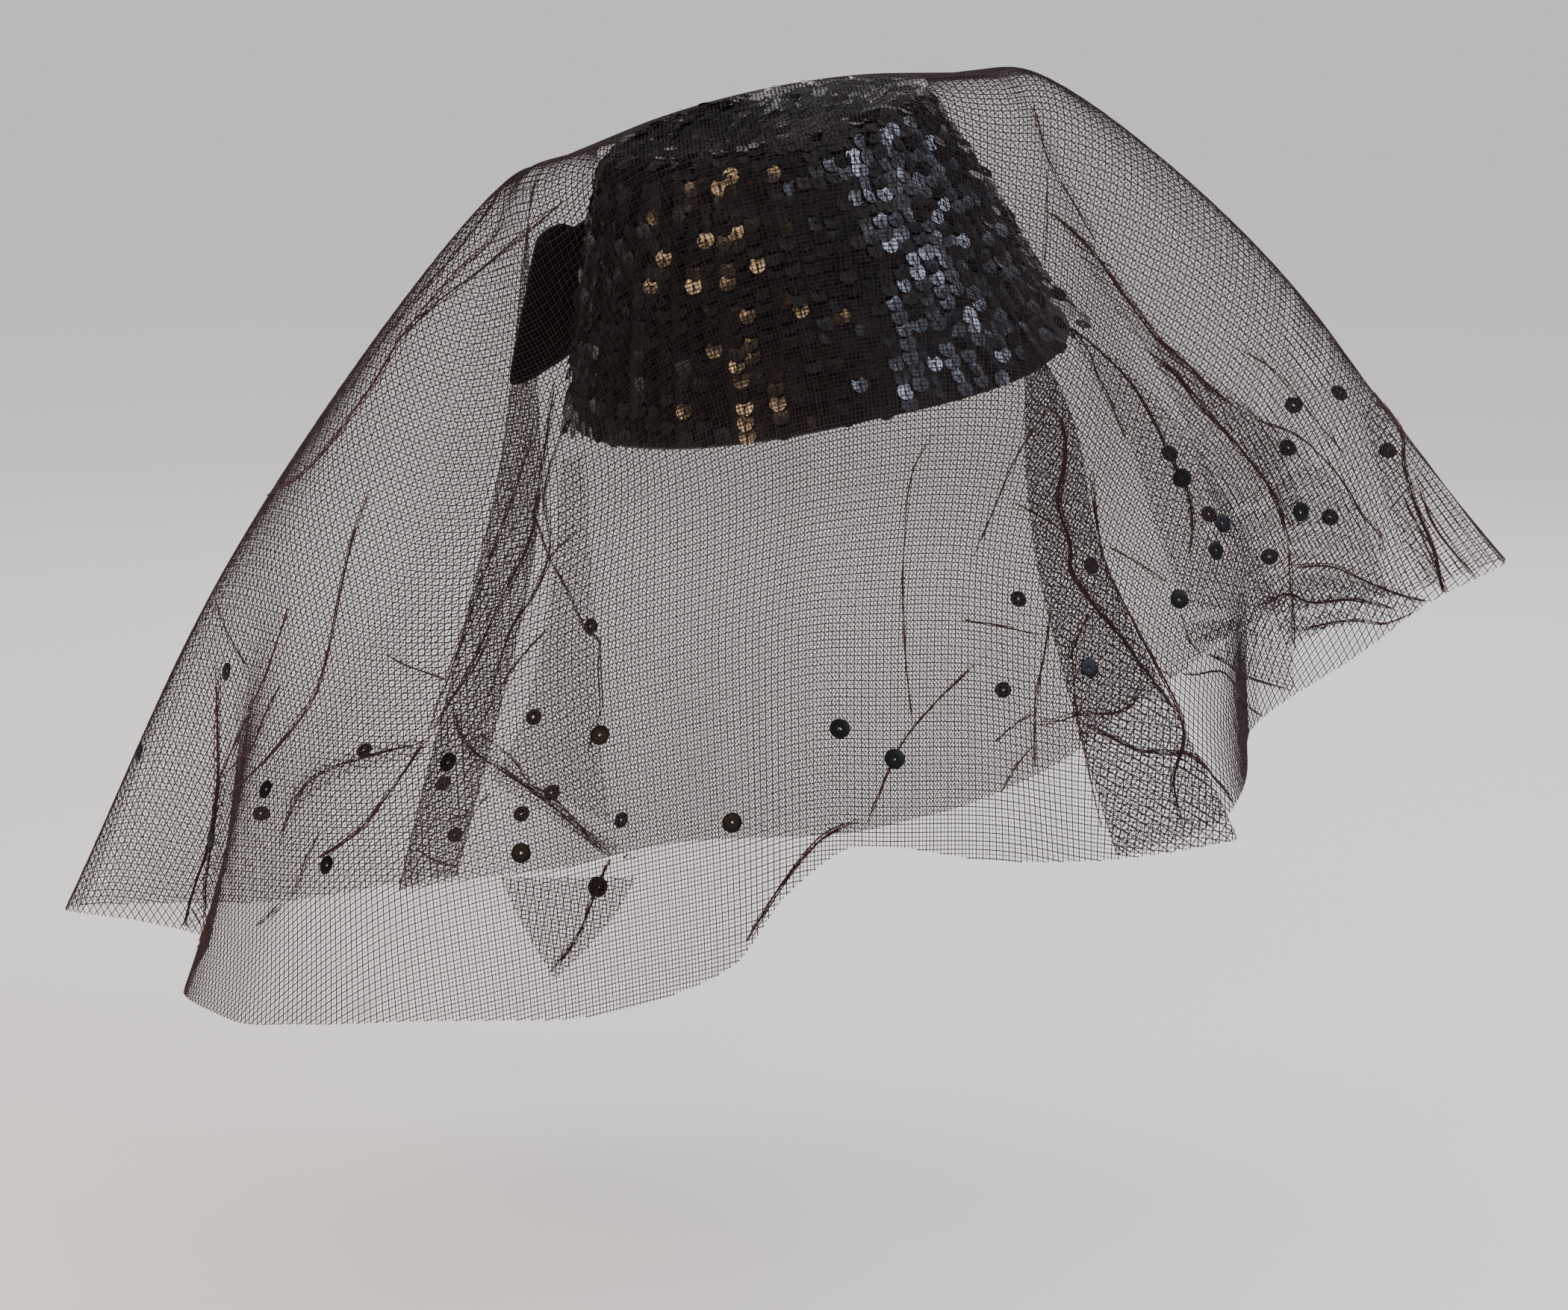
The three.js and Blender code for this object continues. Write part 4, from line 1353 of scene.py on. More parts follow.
@dataclass
class Sight:
    """The place straight in front of the wearer from which laps and creases are charted."""

    right: float = -10.4
    up: float = -94.4
    distance: float = 1135.0
    elevation: float = 9.0

    def __post_init__(self) -> None:
        """Works out the eye and the plane that the chart lies in."""
        tilt = math.radians(self.elevation)
        self.rise = Vector((0, math.sin(tilt), math.cos(tilt)))
        ahead = Vector((0, math.cos(tilt), -math.sin(tilt)))
        self.eye = Vector((self.right, 0, 0)) + self.rise * self.up - ahead * self.distance

    def land(
        self, tree: BVHTree, right: float, up: float, layer: Layer
    ) -> tuple[Vector, Vector] | None:
        """Finds where a line of sight meets the net.

        Args:
            tree: The net's surface.
            right: Millimetres to the right on the chart.
            up: Millimetres up it.
            layer: Which layer to meet.

        Returns:
            The place and the direction out of the surface towards the eye, or None if it misses.
        """
        ray = (Vector((right, 0, 0)) + self.rise * up - self.eye).normalized()
        start, found = self.eye, None
        while True:
            place, normal, _, _ = tree.ray_cast(start, ray)
            if place is None:
                return found
            found = (place, normal if normal.dot(ray) < 0 else -normal)
            if layer is Layer.NEAR:
                return found
            start = place + ray * 0.05


@dataclass
class Surface:
    """A stretch of the net as a grid, with each point's place on the flat cloth."""

    points: np.ndarray
    flat: np.ndarray

    def __post_init__(self) -> None:
        """Works out the faces, the normals and the way each set of threads crosses them."""
        rows, columns = self.points.shape[:2]
        squares = grid_faces(rows, columns)
        self.triangles = np.concatenate([squares[:, [0, 2, 1]], squares[:, [0, 3, 2]]])
        self.vertices = self.points.reshape(-1, 3)
        self.cloth = self.flat.reshape(-1, 2)
        a, b, c = (self.vertices[self.triangles[:, i]] for i in range(3))
        normal = np.cross(b - a, c - a)
        self.normals = unit(self.spread(normal))
        double_area = np.maximum(np.linalg.norm(normal, axis=1, keepdims=True), 1e-9)
        around = normal / double_area
        opposite = (c - b, a - c, b - a)
        self.across = []
        for axis in (0, 1):
            value = self.cloth[:, axis]
            slope = sum(
                value[self.triangles[:, i]][:, None] * np.cross(around, edge)
                for i, edge in enumerate(opposite)
            )
            self.across.append(unit(self.spread(slope)))

    def spread(self, per_face: np.ndarray) -> np.ndarray:
        """Sums a vector of each face at the face's corners."""
        total = np.zeros_like(self.vertices)
        for corner in range(3):
            np.add.at(total, self.triangles[:, corner], per_face)
        return total


@dataclass
class Yarn:
    """How the net's threads are laid: their spacing and width, and how steeply they stand.

    A thread is a narrow ribbon that stands at an angle to the cloth, turned alternately left and
    right, so that the net closes up where it is seen aslant, as round yarn does. It is drawn a
    little wider than true yarn, so that each thread shows. The phase keeps the threads clear of
    the grid's own corners.
    """

    pitch: float = 1.3
    width: float = 0.33
    stand: float = 45.0
    knot: float = 0.4
    phase: float = 0.37

    def lay(
        self, surface: Surface, triangles: np.ndarray, axis: int
    ) -> tuple[np.ndarray, np.ndarray, np.ndarray]:
        """Lays one set of threads over some of a surface's triangles.

        Args:
            surface: The net's surface.
            triangles: The triangles to cover.
            axis: 0 for threads that cross the cloth's width, 1 for its length.

        Returns:
            Vertices, four-cornered faces, and places on the flat cloth.
        """
        value = surface.cloth[:, axis] / self.pitch + self.phase
        sides = np.stack([triangles[:, [i, (i + 1) % 3]] for i in (1, 2, 0)], axis=1)
        sides = np.sort(sides.reshape(-1, 2), axis=1)
        edges, which = np.unique(sides, axis=0, return_inverse=True)
        which = which.reshape(-1, 3)
        # Every place where a thread crosses an edge of the grid.
        start, end = value[edges[:, 0]], value[edges[:, 1]]
        lowest = np.ceil(np.minimum(start, end)).astype(int)
        crossings = np.maximum(np.floor(np.maximum(start, end)).astype(int) - lowest + 1, 0)
        offset = np.concatenate([[0], np.cumsum(crossings)])[:-1]
        edge = np.repeat(np.arange(len(edges)), crossings)
        number = np.arange(len(edge)) - offset[edge] + lowest[edge]
        t = ((number - start[edge]) / (end[edge] - start[edge]))[:, None]
        low, high = edges[edge, 0], edges[edge, 1]

        def between(values: np.ndarray) -> np.ndarray:
            """A vertex quantity at every crossing."""
            return values[low] * (1 - t) + values[high] * t

        lean = math.radians(self.stand)
        turned = np.where(number % 2 == 0, 1.0, -1.0)[:, None]
        side = unit(between(surface.across[axis])) * math.cos(lean)
        side = side + unit(between(surface.normals)) * turned * math.sin(lean)
        middle, cloth = between(surface.vertices), between(surface.cloth)
        reach = side * self.width / 2
        vertices = np.stack([middle + reach, middle - reach], axis=1)

        # Each thread runs over a triangle from its long edge to one of the two short ones.
        at = value[triangles]
        order = np.argsort(at, axis=1)
        least, mid, most = (np.take_along_axis(at, order[:, i : i + 1], 1)[:, 0] for i in range(3))
        first = np.ceil(least).astype(int)
        runs = np.maximum(np.floor(most).astype(int) - first + 1, 0)
        begin = np.concatenate([[0], np.cumsum(runs)])[:-1]
        face = np.repeat(np.arange(len(triangles)), runs)
        line = np.arange(len(face)) - begin[face] + first[face]
        long_edge = which[face, order[face, 1]]
        short_edge = np.where(
            line < mid[face], which[face, order[face, 2]], which[face, order[face, 0]]
        )
        one = offset[long_edge] + line - lowest[long_edge]
        two = offset[short_edge] + line - lowest[short_edge]
        faces = np.stack([2 * one, 2 * one + 1, 2 * two + 1, 2 * two], axis=-1)
        return vertices.reshape(-1, 3), faces, np.repeat(cloth, 2, axis=0)

    def tie(
        self, surface: Surface, triangles: np.ndarray
    ) -> tuple[np.ndarray, np.ndarray, np.ndarray]:
        """Ties a small knot wherever two threads cross.

        Args:
            surface: The net's surface.
            triangles: The triangles to cover.

        Returns:
            Vertices, three-cornered faces, and places on the flat cloth.
        """
        value = surface.cloth / self.pitch + self.phase
        corner = value[triangles]
        low = np.ceil(corner.min(axis=1)).astype(int)
        span = np.maximum(np.floor(corner.max(axis=1)).astype(int) - low + 1, 0)
        # The crossings near each triangle, of which those inside it are kept below.
        count = span[:, 0] * span[:, 1]
        face = np.repeat(np.arange(len(triangles)), count)
        number = np.arange(len(face)) - np.repeat(np.cumsum(count) - count, count)
        wide = span[face, 0]
        spot = low[face] + np.stack([number % wide, number // wide], axis=-1)
        a, b, c = (corner[face, i] for i in range(3))

        def area(p: np.ndarray, q: np.ndarray, r: np.ndarray) -> np.ndarray:
            """Twice the signed area of each flat triangle."""
            one, two = q - p, r - p
            return one[:, 0] * two[:, 1] - one[:, 1] * two[:, 0]

        whole = area(a, b, c)
        whole = np.where(np.abs(whole) < 1e-9, np.inf, whole)
        weights = np.stack([area(spot, b, c), area(a, spot, c), area(a, b, spot)], axis=-1)
        weights = weights / whole[:, None]
        inside = (weights.min(axis=1) >= 0) & (weights.max(axis=1) > 0)
        weights, chosen = weights[inside], triangles[face[inside]]

        def at(values: np.ndarray) -> np.ndarray:
            """A vertex quantity at every crossing of two threads."""
            return np.einsum("nk,nkc->nc", weights, values[chosen])

        middle, cloth = at(surface.vertices), at(surface.cloth)
        side = unit(at(surface.across[0]))
        along = np.cross(unit(at(surface.normals)), side)
        angle = np.pi * (np.arange(3) * 2 / 3 + 0.1)
        reach = side[:, None] * np.cos(angle)[:, None] + along[:, None] * np.sin(angle)[:, None]
        vertices = middle[:, None] + reach * self.knot
        faces = np.arange(3 * len(middle)).reshape(-1, 3)
        return vertices.reshape(-1, 3), faces, np.repeat(cloth, 3, axis=0)


@dataclass
class Pressing:
    """The laps and creases that storage has pressed into the net."""

    surfaces: tuple[Surface, ...]
    yarn: Yarn
    sight: Sight
    step: float = 2.2
    lap_step: float = 3.5
    lift: float = 0.7
    strand: float = 0.32
    strand_stand: float = 45.0
    fullness: float = 2.0
    longest_step: float = 14.0
    longest_side: float = 16.0

    def __post_init__(self) -> None:
        """Prepares the net's surface for lines of sight."""
        points, faces = joined([(s.vertices, s.triangles) for s in self.surfaces])
        self.tree = BVHTree.FromPolygons(points.tolist(), np.concatenate(faces).tolist())
        self.rng = np.random.default_rng(8)

    def charted(self, line: Sequence[tuple[float, float]], count: int) -> np.ndarray:
        """Evenly spaced points of a smooth curve through a charted line.

        Args:
            line: The line's corners.
            count: How many points.

        Returns:
            The points.
        """
        corners = np.array(line, float)
        fine = centripetal(corners[None], np.linspace(0, 1, 12 * len(corners)))[:, 0]
        run = run_along(fine)
        at = np.linspace(0, run[-1], count)
        return np.stack([np.interp(at, run, fine[:, i]) for i in (0, 1)], axis=-1)

    def landed(self, chart: np.ndarray, layer: Layer) -> tuple[np.ndarray, np.ndarray]:
        """Brings charted points onto the net.

        Args:
            chart: Points on the chart.
            layer: Which layer they lie on.

        Returns:
            Their places, with nan where a line of sight misses, and the directions out.
        """
        places, outs = np.full((len(chart), 3), np.nan), np.zeros((len(chart), 3))
        for i, (right, up) in enumerate(chart):
            met = self.sight.land(self.tree, right, up, layer)
            if met is not None:
                places[i], outs[i] = met[0] + met[1] * self.lift, met[1]
        return places, outs

    def lap(self, lap: Lap) -> list[tuple[np.ndarray, np.ndarray]]:
        """Lays one lap's threads.

        Args:
            lap: The lap.

        Returns:
            Vertices and faces, by set of threads.
        """
        length = run_along(np.array(lap.first))[-1]
        width = np.linalg.norm(np.array(lap.first) - np.array(lap.second), axis=1).max()
        along, across = (max(3, round(size / self.lap_step) + 1) for size in (length, width))
        first, second = self.charted(lap.first, along), self.charted(lap.second, along)
        share = np.linspace(0, 1, across)[None, :, None]
        chart = first[:, None] * (1 - share) + second[:, None] * share
        places, _ = self.landed(chart.reshape(-1, 2), lap.layer)
        missed = np.isnan(places[:, 0])
        places = np.where(missed[:, None], 0.0, places)
        axes = turned_axes(math.radians(lap.turn))
        surface = Surface(places.reshape(along, across, 3), chart @ axes)
        corners = places[surface.triangles]
        sides = np.linalg.norm(corners - np.roll(corners, 1, axis=1), axis=2)
        whole = ~missed[surface.triangles].any(axis=1)
        triangles = surface.triangles[whole & (sides.max(axis=1) < self.longest_side)]
        if not len(triangles):
            return []
        return [self.yarn.lay(surface, triangles, axis)[:2] for axis in (0, 1)]

    def crease(self, crease: Crease) -> list[tuple[np.ndarray, np.ndarray]]:
        """Lays the threads that bunch in one crease.

        Args:
            crease: The crease.

        Returns:
            Vertices and faces, by thread.
        """
        rng = self.rng
        count = max(4, round(run_along(np.array(crease.line))[-1] / self.step))
        middle = self.charted(crease.line, count)
        ahead = unit(np.gradient(middle, axis=0))
        beside = np.stack([-ahead[:, 1], ahead[:, 0]], axis=-1)
        run = np.linspace(0, 1, count)
        laid = []
        strands = round(crease.strands * self.fullness)
        stand = math.radians(self.strand_stand)
        # Each strand sways in its own way, and draws near the others and away along the crease.
        for strand in range(strands):
            place = 2 * (strand + 0.5) / strands - 1
            waves = rng.uniform(0.8, 3.2, 2)
            phases = rng.uniform(0, 2 * np.pi, 2)
            sway = np.sin(run * waves[0] * 2 * np.pi + phases[0])
            tight = 0.55 + 0.45 * np.sin(run * waves[1] * np.pi + phases[1])
            offset = crease.spread * (place * tight + 0.25 * sway)
            begin, end = rng.uniform(0, 0.14) * count, count - rng.uniform(0, 0.14) * count
            chart = (middle + beside * offset[:, None])[int(begin) : int(math.ceil(end))]
            places, outs = self.landed(chart, crease.layer)
            gaps = np.linalg.norm(np.diff(places, axis=0), axis=1)
            whole = np.nan_to_num(gaps, nan=np.inf) < self.longest_step
            places = np.nan_to_num(places)
            tangent = unit(np.gradient(places, axis=0))
            side = unit(np.cross(outs, tangent)) * math.cos(stand)
            side = side + outs * math.sin(stand) * (1 if strand % 2 else -1)
            edge = side * self.strand / 2
            ribbon = np.stack([places - edge, places + edge], axis=1)
            faces = grid_faces(len(places), 2)[whole]
            if len(faces):
                laid.append((ribbon.reshape(-1, 3), faces))
        return laid

    def piece(
        self, name: str, laid: list[tuple[np.ndarray, np.ndarray]], yarn: bpy.types.Material
    ) -> bpy.types.Object:
        """Joins laid threads as one piece.

        Args:
            name: Its name.
            laid: Vertices and faces of each part.
            yarn: Its material.

        Returns:
            The piece.
        """
        vertices, faces = joined(laid)
        spots = vertices[:, [0, 2]]
        flat = (spots - spots.min(axis=0)) / np.ptp(spots, axis=0).max()
        return new_piece(name, vertices, faces, yarn, flat=flat)

    def build(self, yarn: bpy.types.Material) -> list[bpy.types.Object]:
        """Lays every lap and crease.

        Args:
            yarn: The net's material.

        Returns:
            The laps, and the creases.
        """
        laps = [part for lap in LAPS for part in self.lap(lap)]
        creases = [part for crease in CREASES for part in self.crease(crease)]
        # The creases' yarn is darker and redder than the rest of the net: painted shade.
        bunched = CREASE_SHADED_YARN.material()
        return [self.piece("net_laps", laps, yarn), self.piece("net_creases", creases, bunched)]


@dataclass
class Veil:
    """One large piece of fine net, laid over the whole hat and falling round the head.

    A level is 0 in the middle of the crown's top and 1 at the hem, with the crown's corner between.
    A pleat's overlap grows from a share at its top to the whole at the hem.
    """

    crown: Crown
    clearance: float = 1.6
    corner_lift: float = 1.5
    stand_off: float = 0.5
    yarn: Yarn = field(default_factory=Yarn)
    resting_stand: float = 8.0
    sight: Sight = field(default_factory=Sight)
    column_step: float = 1.6
    pleat_step: float = 0.6
    top_rows: int = 12
    fall_rows: int = 62
    corner_level: float = 3 / 7
    pleat_top: float = 0.45
    pleat_turn: float = 1.12
    pleat_ease: float = 0.2
    pleat_columns: float = 1.7
    ripples: int = 9
    ripple_start: float = 0.62
    ripple_ease: float = 0.3
    least_cover: float = 0.302

    def __post_init__(self) -> None:
        """Reads the tables."""
        names = ("shoulder_r", "shoulder_h", "middle_r", "middle_z")
        self.fall = {name: RingTable(FALL, name) for name in names}
        self.hem = {name: RingTable(HEM, name) for name in ("radius", "height")}

    def knots(self, azimuth: np.ndarray) -> np.ndarray:
        """The knots of each radial line, from the middle of the crown's top out to the hem.

        Args:
            azimuth: The lines' azimuths.

        Returns:
            Eight points for each line.
        """
        crown = self.crown

        def on_hat(radius: Any, height: Any) -> np.ndarray:
            """Points beside the level crown, where they are on the worn one."""
            return crown.worn(ring_points(radius * np.ones_like(azimuth), azimuth, height))

        profile = crown.section(self.clearance, side_steps=1, corner_steps=2)
        corner, top_edge = profile[-2] + self.corner_lift, profile[-1]
        shoulder_r = self.fall["shoulder_r"].at(azimuth) + self.stand_off
        shoulder_h = self.fall["shoulder_h"].at(azimuth)
        side_r, side_h = (corner[0] + shoulder_r) / 2, (corner[1] + shoulder_h) / 2
        middle_r, middle_z = (self.fall[name].at(azimuth) for name in ("middle_r", "middle_z"))
        hem_r, hem_z = (self.hem[name].at(azimuth) for name in ("radius", "height"))
        # Half-way out, the dome of the top keeps three quarters of its rise.
        middle_height = crown.shoulder + crown.top_rise * 0.75 + self.clearance
        lines = [
            on_hat(0.01, crown.height + self.clearance),
            on_hat(top_edge[0] / 2, middle_height),
            on_hat(top_edge[0], top_edge[1] + self.corner_lift / 4),
            on_hat(corner[0], corner[1]),
            on_hat(side_r + crown.belly, side_h),
            on_hat(shoulder_r, shoulder_h),
            ring_points(middle_r, azimuth, middle_z),
            ring_points(hem_r, azimuth, hem_z),
        ]
        return np.stack(lines, axis=1)

    def gather(self, azimuth: np.ndarray, level: np.ndarray) -> tuple[np.ndarray, np.ndarray]:
        """How the pleats and folds move a point.

        Args:
            azimuth: Degrees, one for each column.
            level: From 0 at the top's middle to 1 at the hem, one for each row.

        Returns:
            Degrees round the ring, and millimetres outwards.
        """
        azimuth, level = azimuth[None, :], level[:, None]
        # Each pleat is one S-shaped swing whose two peaks reach 1 and -1.
        steepness = 1.6
        full = math.sqrt(2 * steepness * math.e)
        turn = np.zeros((level.shape[0], azimuth.shape[1]))
        out = np.zeros_like(turn)
        for pleat in PLEATS:
            x = wrapped(azimuth - pleat.azimuth) / pleat.half_width
            swing = full * x * np.exp(-steepness * x * x)
            swing = swing * eased((level - pleat.start) / self.pleat_ease)
            open_hem = eased((level - (1 - self.pleat_ease)) / self.pleat_ease)
            wide = self.pleat_top + (1 - self.pleat_top) * open_hem
            turn -= swing * (pleat.overlap * wide + self.pleat_turn * pleat.half_width) / 2
            out += swing * pleat.depth * pleat.outer_side
        for fold in FOLDS:
            x = wrapped(azimuth - fold.azimuth - fold.lean * level) / fold.half_width
            out += fold.depth * np.exp(-x * x) * eased((level - fold.start) / (1 - fold.start))
        return turn, out

    def ripple(self, azimuth: np.ndarray, level: np.ndarray) -> np.ndarray:
        """The net's slight unrest, which grows where it hangs free, in millimetres outwards."""
        rng = np.random.default_rng(5)
        total = np.zeros((len(level), len(azimuth)))
        # Each ripple is a wave round the veil that drifts on the way down.
        for _ in range(self.ripples):
            waves, drift = rng.integers(4, 17), rng.uniform(-9, 9)
            phase, size = rng.uniform(0, 2 * np.pi), rng.uniform(0.25, 0.6)
            total += size * np.sin(
                np.radians(azimuth[None, :]) * waves + drift * level[:, None] + phase
            )
        return total * eased((level[:, None] - self.ripple_start) / self.ripple_ease)

    def points(self, azimuth: np.ndarray, level: np.ndarray) -> np.ndarray:
        """Points of the net by level and azimuth.

        Args:
            azimuth: Degrees, one for each column.
            level: From 0 to 1, one for each row.

        Returns:
            The points, row by row.
        """
        plain = centripetal(self.knots(azimuth), level)
        turn, out = self.gather(azimuth, level)
        out = out + self.ripple(azimuth, level)
        angle = np.degrees(np.arctan2(plain[..., 0], -plain[..., 1])) + turn
        radius = np.hypot(plain[..., 0], plain[..., 1]) + out
        return ring_points(radius, angle, plain[..., 2])

    def columns(self) -> np.ndarray:
        """Azimuths of the grid's columns, closer together in the pleats."""
        found, azimuth = [], -180.0
        while azimuth < 180.0:
            found.append(azimuth)
            pleated = any(
                abs(azimuth - p.azimuth) < self.pleat_columns * p.half_width for p in PLEATS
            )
            azimuth += self.pleat_step if pleated else self.column_step
        return np.array(found + [180.0])

    def surfaces(self) -> tuple[Surface, Surface, np.ndarray, np.ndarray]:
        """The net over the crown's top, and the net that falls from its edge.

        The flat cloth's threads run across and along the wearer's face. The net over the top lies
        flat. The fall is laid out as the part of a disc that its own length and width give.

        Returns:
            The two surfaces, the fall's columns, and the angle of each column on that disc.
        """
        azimuth = self.columns()
        top = self.points(azimuth, np.linspace(0, self.corner_level, self.top_rows))
        fall = self.points(azimuth, np.linspace(self.corner_level, 1, self.fall_rows))

        def down(rows: np.ndarray) -> np.ndarray:
            """Each point's distance from the first row, along its line."""
            steps = np.linalg.norm(np.diff(rows, axis=0), axis=2)
            return np.concatenate([np.zeros((1, steps.shape[1])), np.cumsum(steps, axis=0)])

        top_run = down(top)
        fall_run = top_run[-1].mean() + down(fall)
        steps = np.linalg.norm(np.diff(fall, axis=1), axis=2)
        around = np.concatenate([np.zeros((len(fall), 1)), np.cumsum(steps, axis=1)], axis=1)
        # The rows below the crown tell how full the net hangs.
        around, lengths = around[len(fall) // 3 :], fall_run[len(fall) // 3 :]
        share = (around / around[:, -1:]).mean(axis=0)
        full = float(np.mean(around[:, -1] / lengths.mean(axis=1)))
        log.info("veil: fullness %.2f of a full disc", full / (2 * np.pi))
        turn = (share - np.interp(0, azimuth, share)) * full

        def laid(run: np.ndarray, angle: np.ndarray) -> np.ndarray:
            """Places on the flat cloth, by distance from the middle and angle from the front."""
            return np.stack([run * np.sin(angle), run * np.cos(angle)], axis=-1)

        cap = Surface(top, laid(top_run, np.radians(azimuth)[None, :]))
        skirt = Surface(fall, laid(fall_run, turn[None, :]))
        return cap, skirt, azimuth, turn

    def build(self) -> None:
        """Knits the net in panels and presses the creases in."""
        yarn = VEIL_YARN.material()
        cap, skirt, azimuth, turns = self.surfaces()
        pressed = Pressing((cap, skirt), self.yarn, self.sight).build(yarn)
        # Where the net rests on the crown its yarn lies flat, and the sequins show through it.
        resting = replace(self.yarn, stand=self.resting_stand)
        self.knit("net_over_crown", cap, cap.triangles, 0.0, yarn, resting)
        squares = len(skirt.triangles) // 2
        column = np.arange(squares) % (len(azimuth) - 1)
        middle = (azimuth[column] + azimuth[column + 1]) / 2
        middle = np.concatenate([middle, middle])
        for name, low, high in PANELS:
            inside = (middle >= low) & (middle < high)
            turn = float(np.interp((low + high) / 2, azimuth, turns))
            self.knit(
                name, skirt, skirt.triangles[inside], turn, yarn, self.yarn,
            )

    def knit(
        self,
        name: str,
        surface: Surface,
        triangles: np.ndarray,
        turn: float,
        yarn: bpy.types.Material,
        threads: Yarn,
    ) -> bpy.types.Object:
        """Args:
            name: The panel's name.
            surface: The surface that it lies on.
            triangles: The part of the surface that it covers.
            turn: Its middle on the flat cloth, in radians from the front.
            yarn: Its material.
            threads: How its threads are laid.

        Returns:
            The panel.
        """
        parts = [threads.lay(surface, triangles, axis) for axis in (0, 1)]
        parts.append(threads.tie(surface, triangles))
        vertices, faces = joined(parts)
        cloth = np.concatenate([part[2] for part in parts])
        axes = turned_axes(turn)
        used = surface.cloth[np.unique(triangles)] @ axes
        low, size = used.min(axis=0), np.ptp(used, axis=0)
        flat = (cloth @ axes - low) / size.max()
        piece = new_piece(name, vertices, faces, yarn, flat=np.clip(flat, 0, 1))
        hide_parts("veil")
        return piece


# ---- loose spangles ---------------------------------------------------------------------------


@dataclass
class LooseSpangles:
    """Nearly flat spangles sewn to the net here and there, each with its sewing hole."""

    radius: float = 3.1
    hole: float = 0.5
    thickness: float = 0.35
    collar: float = 0.35
    cup: float = 0.25
    uneven: float = 0.05
    sides: int = 28
    prefix: str = "veil_spangle_"

    def build(self) -> None:
        """Makes all of them as one joined mesh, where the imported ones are."""
        film = LOOSE_SEQUIN.material()
        names = sorted(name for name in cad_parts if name.startswith(self.prefix))
        rng = np.random.default_rng(21)
        angle = 2 * np.pi * np.arange(self.sides) / self.sides
        # The section: a flat collar round the hole, then the slightly cupped film out to its rim.
        half, collar, rim = self.thickness / 2, self.hole + self.collar, self.radius
        section = (
            (self.hole, -half), (self.hole, half), (collar, half), (rim - 0.3, half + self.cup),
            (rim, self.cup), (rim - 0.25, 0.1), (collar, -half),
        )
        one = np.stack(
            [
                np.stack([r * np.cos(angle), r * np.sin(angle), np.full(self.sides, h)], axis=-1)
                for r, h in section
            ]
        )
        parts = []
        for name in names:
            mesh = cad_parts[name].data
            spots = np.zeros(len(mesh.vertices) * 3, np.float32)
            mesh.vertices.foreach_get("co", spots)
            spots = spots.reshape(-1, 3) / MM
            middle = spots.mean(axis=0)
            # The solid's thinnest direction is the way that it faces, taken here to the front.
            axes = np.linalg.svd(spots - middle)[2]
            out = axes[2] if axes[2][1] < 0 else -axes[2]
            basis = np.stack([axes[0], np.cross(out, axes[0]), out])
            lean = rng.normal(0, self.uneven, 2)
            leaned = one + np.array([0, 0, 1.0]) * (one[..., :2] @ lean)[..., None]
            vertices, faces = tube_shell(leaned, capped=False)
            parts.append((middle + vertices @ basis, faces))
        vertices, faces = joined(parts)
        tones = np.repeat(rng.random(len(names)), len(one) * self.sides)
        piece = new_piece("veil_spangles", vertices, faces, film, tone=tones)
        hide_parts(*names)


# ---- studio -----------------------------------------------------------------------------------


class Lamp(NamedTuple):
    """One soft light: its place and size in metres, its watts and its colour.

    A lamp that doesn't gleam lights the hat without showing in the gloss of its sequins.
    """

    name: str
    place: tuple[float, float, float]
    size: tuple[float, float]
    power: float
    colour: str
    gleams: bool = True


LAMPS = (
    Lamp("light_overhead", (0.0, 0.3, 3.2), (4.0, 4.0), 26.0, "#fbf9f6"),
    Lamp("light_warm_lamp", (-0.85, -1.2, 0.68), (0.62, 0.16), 7.5, "#ffcf9a"),
    Lamp("light_warm_side", (-1.7, -0.5, 0.5), (0.9, 0.9), 8.0, "#ffdcb4", gleams=False),
    Lamp("light_window", (1.27, -0.42, 1.07), (2.3, 0.8), 10.5, "#dfe9ff"),
    Lamp("light_window_pane", (1.05, -0.62, 0.92), (0.3, 0.3), 5.0, "#dbe7ff"),
    Lamp("light_window_far", (1.3, 0.1, 0.85), (0.3, 0.3), 4.0, "#dbe7ff"),
    Lamp("light_behind", (0.3, 1.8, 1.0), (1.4, 1.0), 8.0, "#f4f2f0"),
)


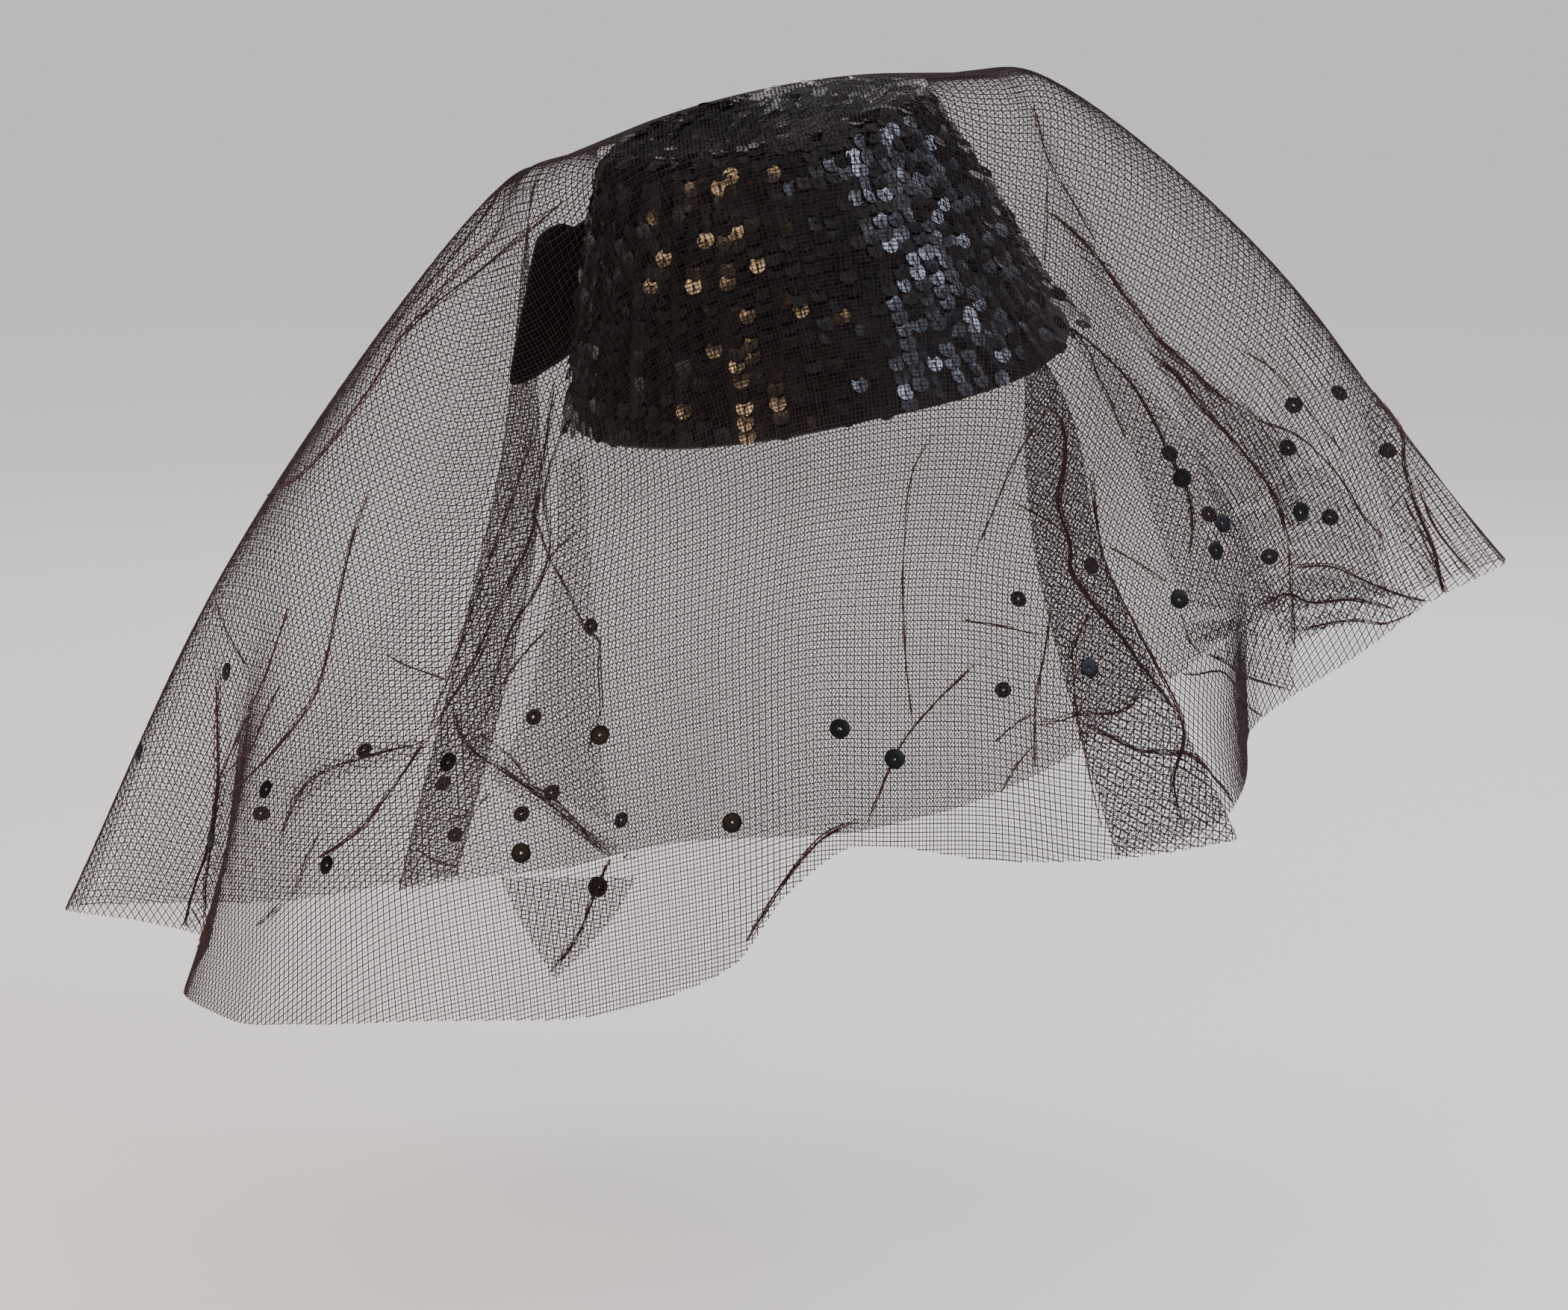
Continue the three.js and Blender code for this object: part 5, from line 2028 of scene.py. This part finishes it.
@dataclass
class Studio:
    """A pale floor a little below the net's hem, soft lights and the camera, placed in metres."""

    floor_z: float = -0.3
    floor_rings: tuple[float, ...] = (0.05, 0.6, 1.5, 4.0, 10.0, 30.0)
    floor_sides: int = 96
    target: tuple[float, float, float] = (-0.01036, 0.0, -0.09556)
    distance: float = 1.15
    elevation: float = 9.0
    lens: float = 78.86
    sensor: float = 36.0

    def build(self) -> None:
        """Sets everything up."""
        self.lay_floor()
        self.set_world()
        for lamp in LAMPS:
            self.hang(lamp)
        self.set_camera()

    def lay_floor(self) -> None:
        """Lays the floor as a wide disc."""
        sides, rings = self.floor_sides, np.array(self.floor_rings)
        angle = 2 * np.pi * np.arange(sides) / sides
        ring = np.stack([np.cos(angle), np.sin(angle), np.zeros(sides)], axis=-1)
        points = (ring[None] * rings[:, None, None]).reshape(-1, 3)
        points = np.concatenate([points + [0, 0, self.floor_z], [[0, 0, self.floor_z]]])
        mesh = bpy.data.meshes.new("floor")
        quads = grid_faces(len(rings), sides, closed_columns=True)[:, ::-1].tolist()
        middle = [[len(points) - 1, i, (i + 1) % sides] for i in range(sides)]
        mesh.from_pydata(points.tolist(), [], quads + middle)
        mesh.materials.append(FLOOR_PAPER.material())
        floor = bpy.data.objects.new("floor", mesh)
        bpy.context.scene.collection.objects.link(floor)

    def set_world(self) -> None:
        """Gives the room a pale, even light that shows a little darker than it shines."""
        world = bpy.data.worlds.new("studio")
        world.use_nodes = True
        tree = world.node_tree
        tree.nodes.clear()
        path = add_node(tree, "ShaderNodeLightPath")
        # What shows is as pale as the floor. What gleams in the sequins is the far room, with
        # its dark corners and its pale walls.
        shines, gleams, shows = (
            add_node(tree, "ShaderNodeBackground", {"Color": linear(code), "Strength": strength})
            for code, strength in (("#f4f4f6", 1.05), ("#e0dcd8", 0.55), ("#e6e5e3", 0.93))
        )
        place = add_node(tree, "ShaderNodeTexCoord")
        corners = add_node(
            tree,
            "ShaderNodeTexNoise",
            {"Scale": 2.6, "Detail": 2.0},
            {"Vector": place.outputs["Generated"]},
        )
        stops = ((0.44, linear("#201f22")), (0.66, linear("#e2dfdc")))
        walls = add_node(
            tree, "ShaderNodeValToRGB", {"stops": stops}, {"Fac": corners.outputs["Fac"]}
        )
        tree.links.new(walls.outputs["Color"], gleams.inputs["Color"])
        lit = add_node(
            tree,
            "ShaderNodeMixShader",
            links={
                0: path.outputs["Is Glossy Ray"], 1: shines.outputs["Background"],
                2: gleams.outputs["Background"],
            },
        )
        mixed = add_node(
            tree,
            "ShaderNodeMixShader",
            links={
                0: path.outputs["Is Camera Ray"], 1: lit.outputs["Shader"],
                2: shows.outputs["Background"],
            },
        )
        add_node(tree, "ShaderNodeOutputWorld", links={"Surface": mixed.outputs["Shader"]})
        bpy.context.scene.world = world

    def hang(self, lamp: Lamp) -> None:
        """Hangs one soft light that faces the hat.

        Args:
            lamp: The light.
        """
        light = bpy.data.lights.new(lamp.name, "AREA")
        light.shape, light.size, light.size_y = "RECTANGLE", *lamp.size
        light.energy, light.color = lamp.power, linear(lamp.colour)[:3]
        hung = bpy.data.objects.new(lamp.name, light)
        hung.location = lamp.place
        facing = Vector(self.target) - Vector(lamp.place)
        hung.rotation_euler = facing.to_track_quat("-Z", "Y").to_euler()
        hung.visible_glossy = lamp.gleams
        bpy.context.scene.collection.objects.link(hung)

    def set_camera(self) -> None:
        """Places the camera a little above the wearer's eyes, straight in front."""
        camera = bpy.data.cameras.new("camera")
        camera.lens, camera.sensor_width = self.lens, self.sensor
        camera.sensor_fit = "HORIZONTAL"
        tilt = math.radians(self.elevation)
        back = Vector((0, -math.cos(tilt), math.sin(tilt)))
        holder = bpy.data.objects.new("camera", camera)
        holder.location = Vector(self.target) + back * self.distance
        holder.rotation_euler = (math.pi / 2 - tilt, 0, 0)
        bpy.context.scene.collection.objects.link(holder)
        bpy.context.scene.camera = holder


def main() -> None:
    """Builds the fascinator piece by piece, then the studio round it."""
    crown = Crown()
    crown.build()
    Bow(crown).build()
    Veil(crown).build()
    LooseSpangles().build()
    Studio().build()


if __name__ == "__main__":
    main()
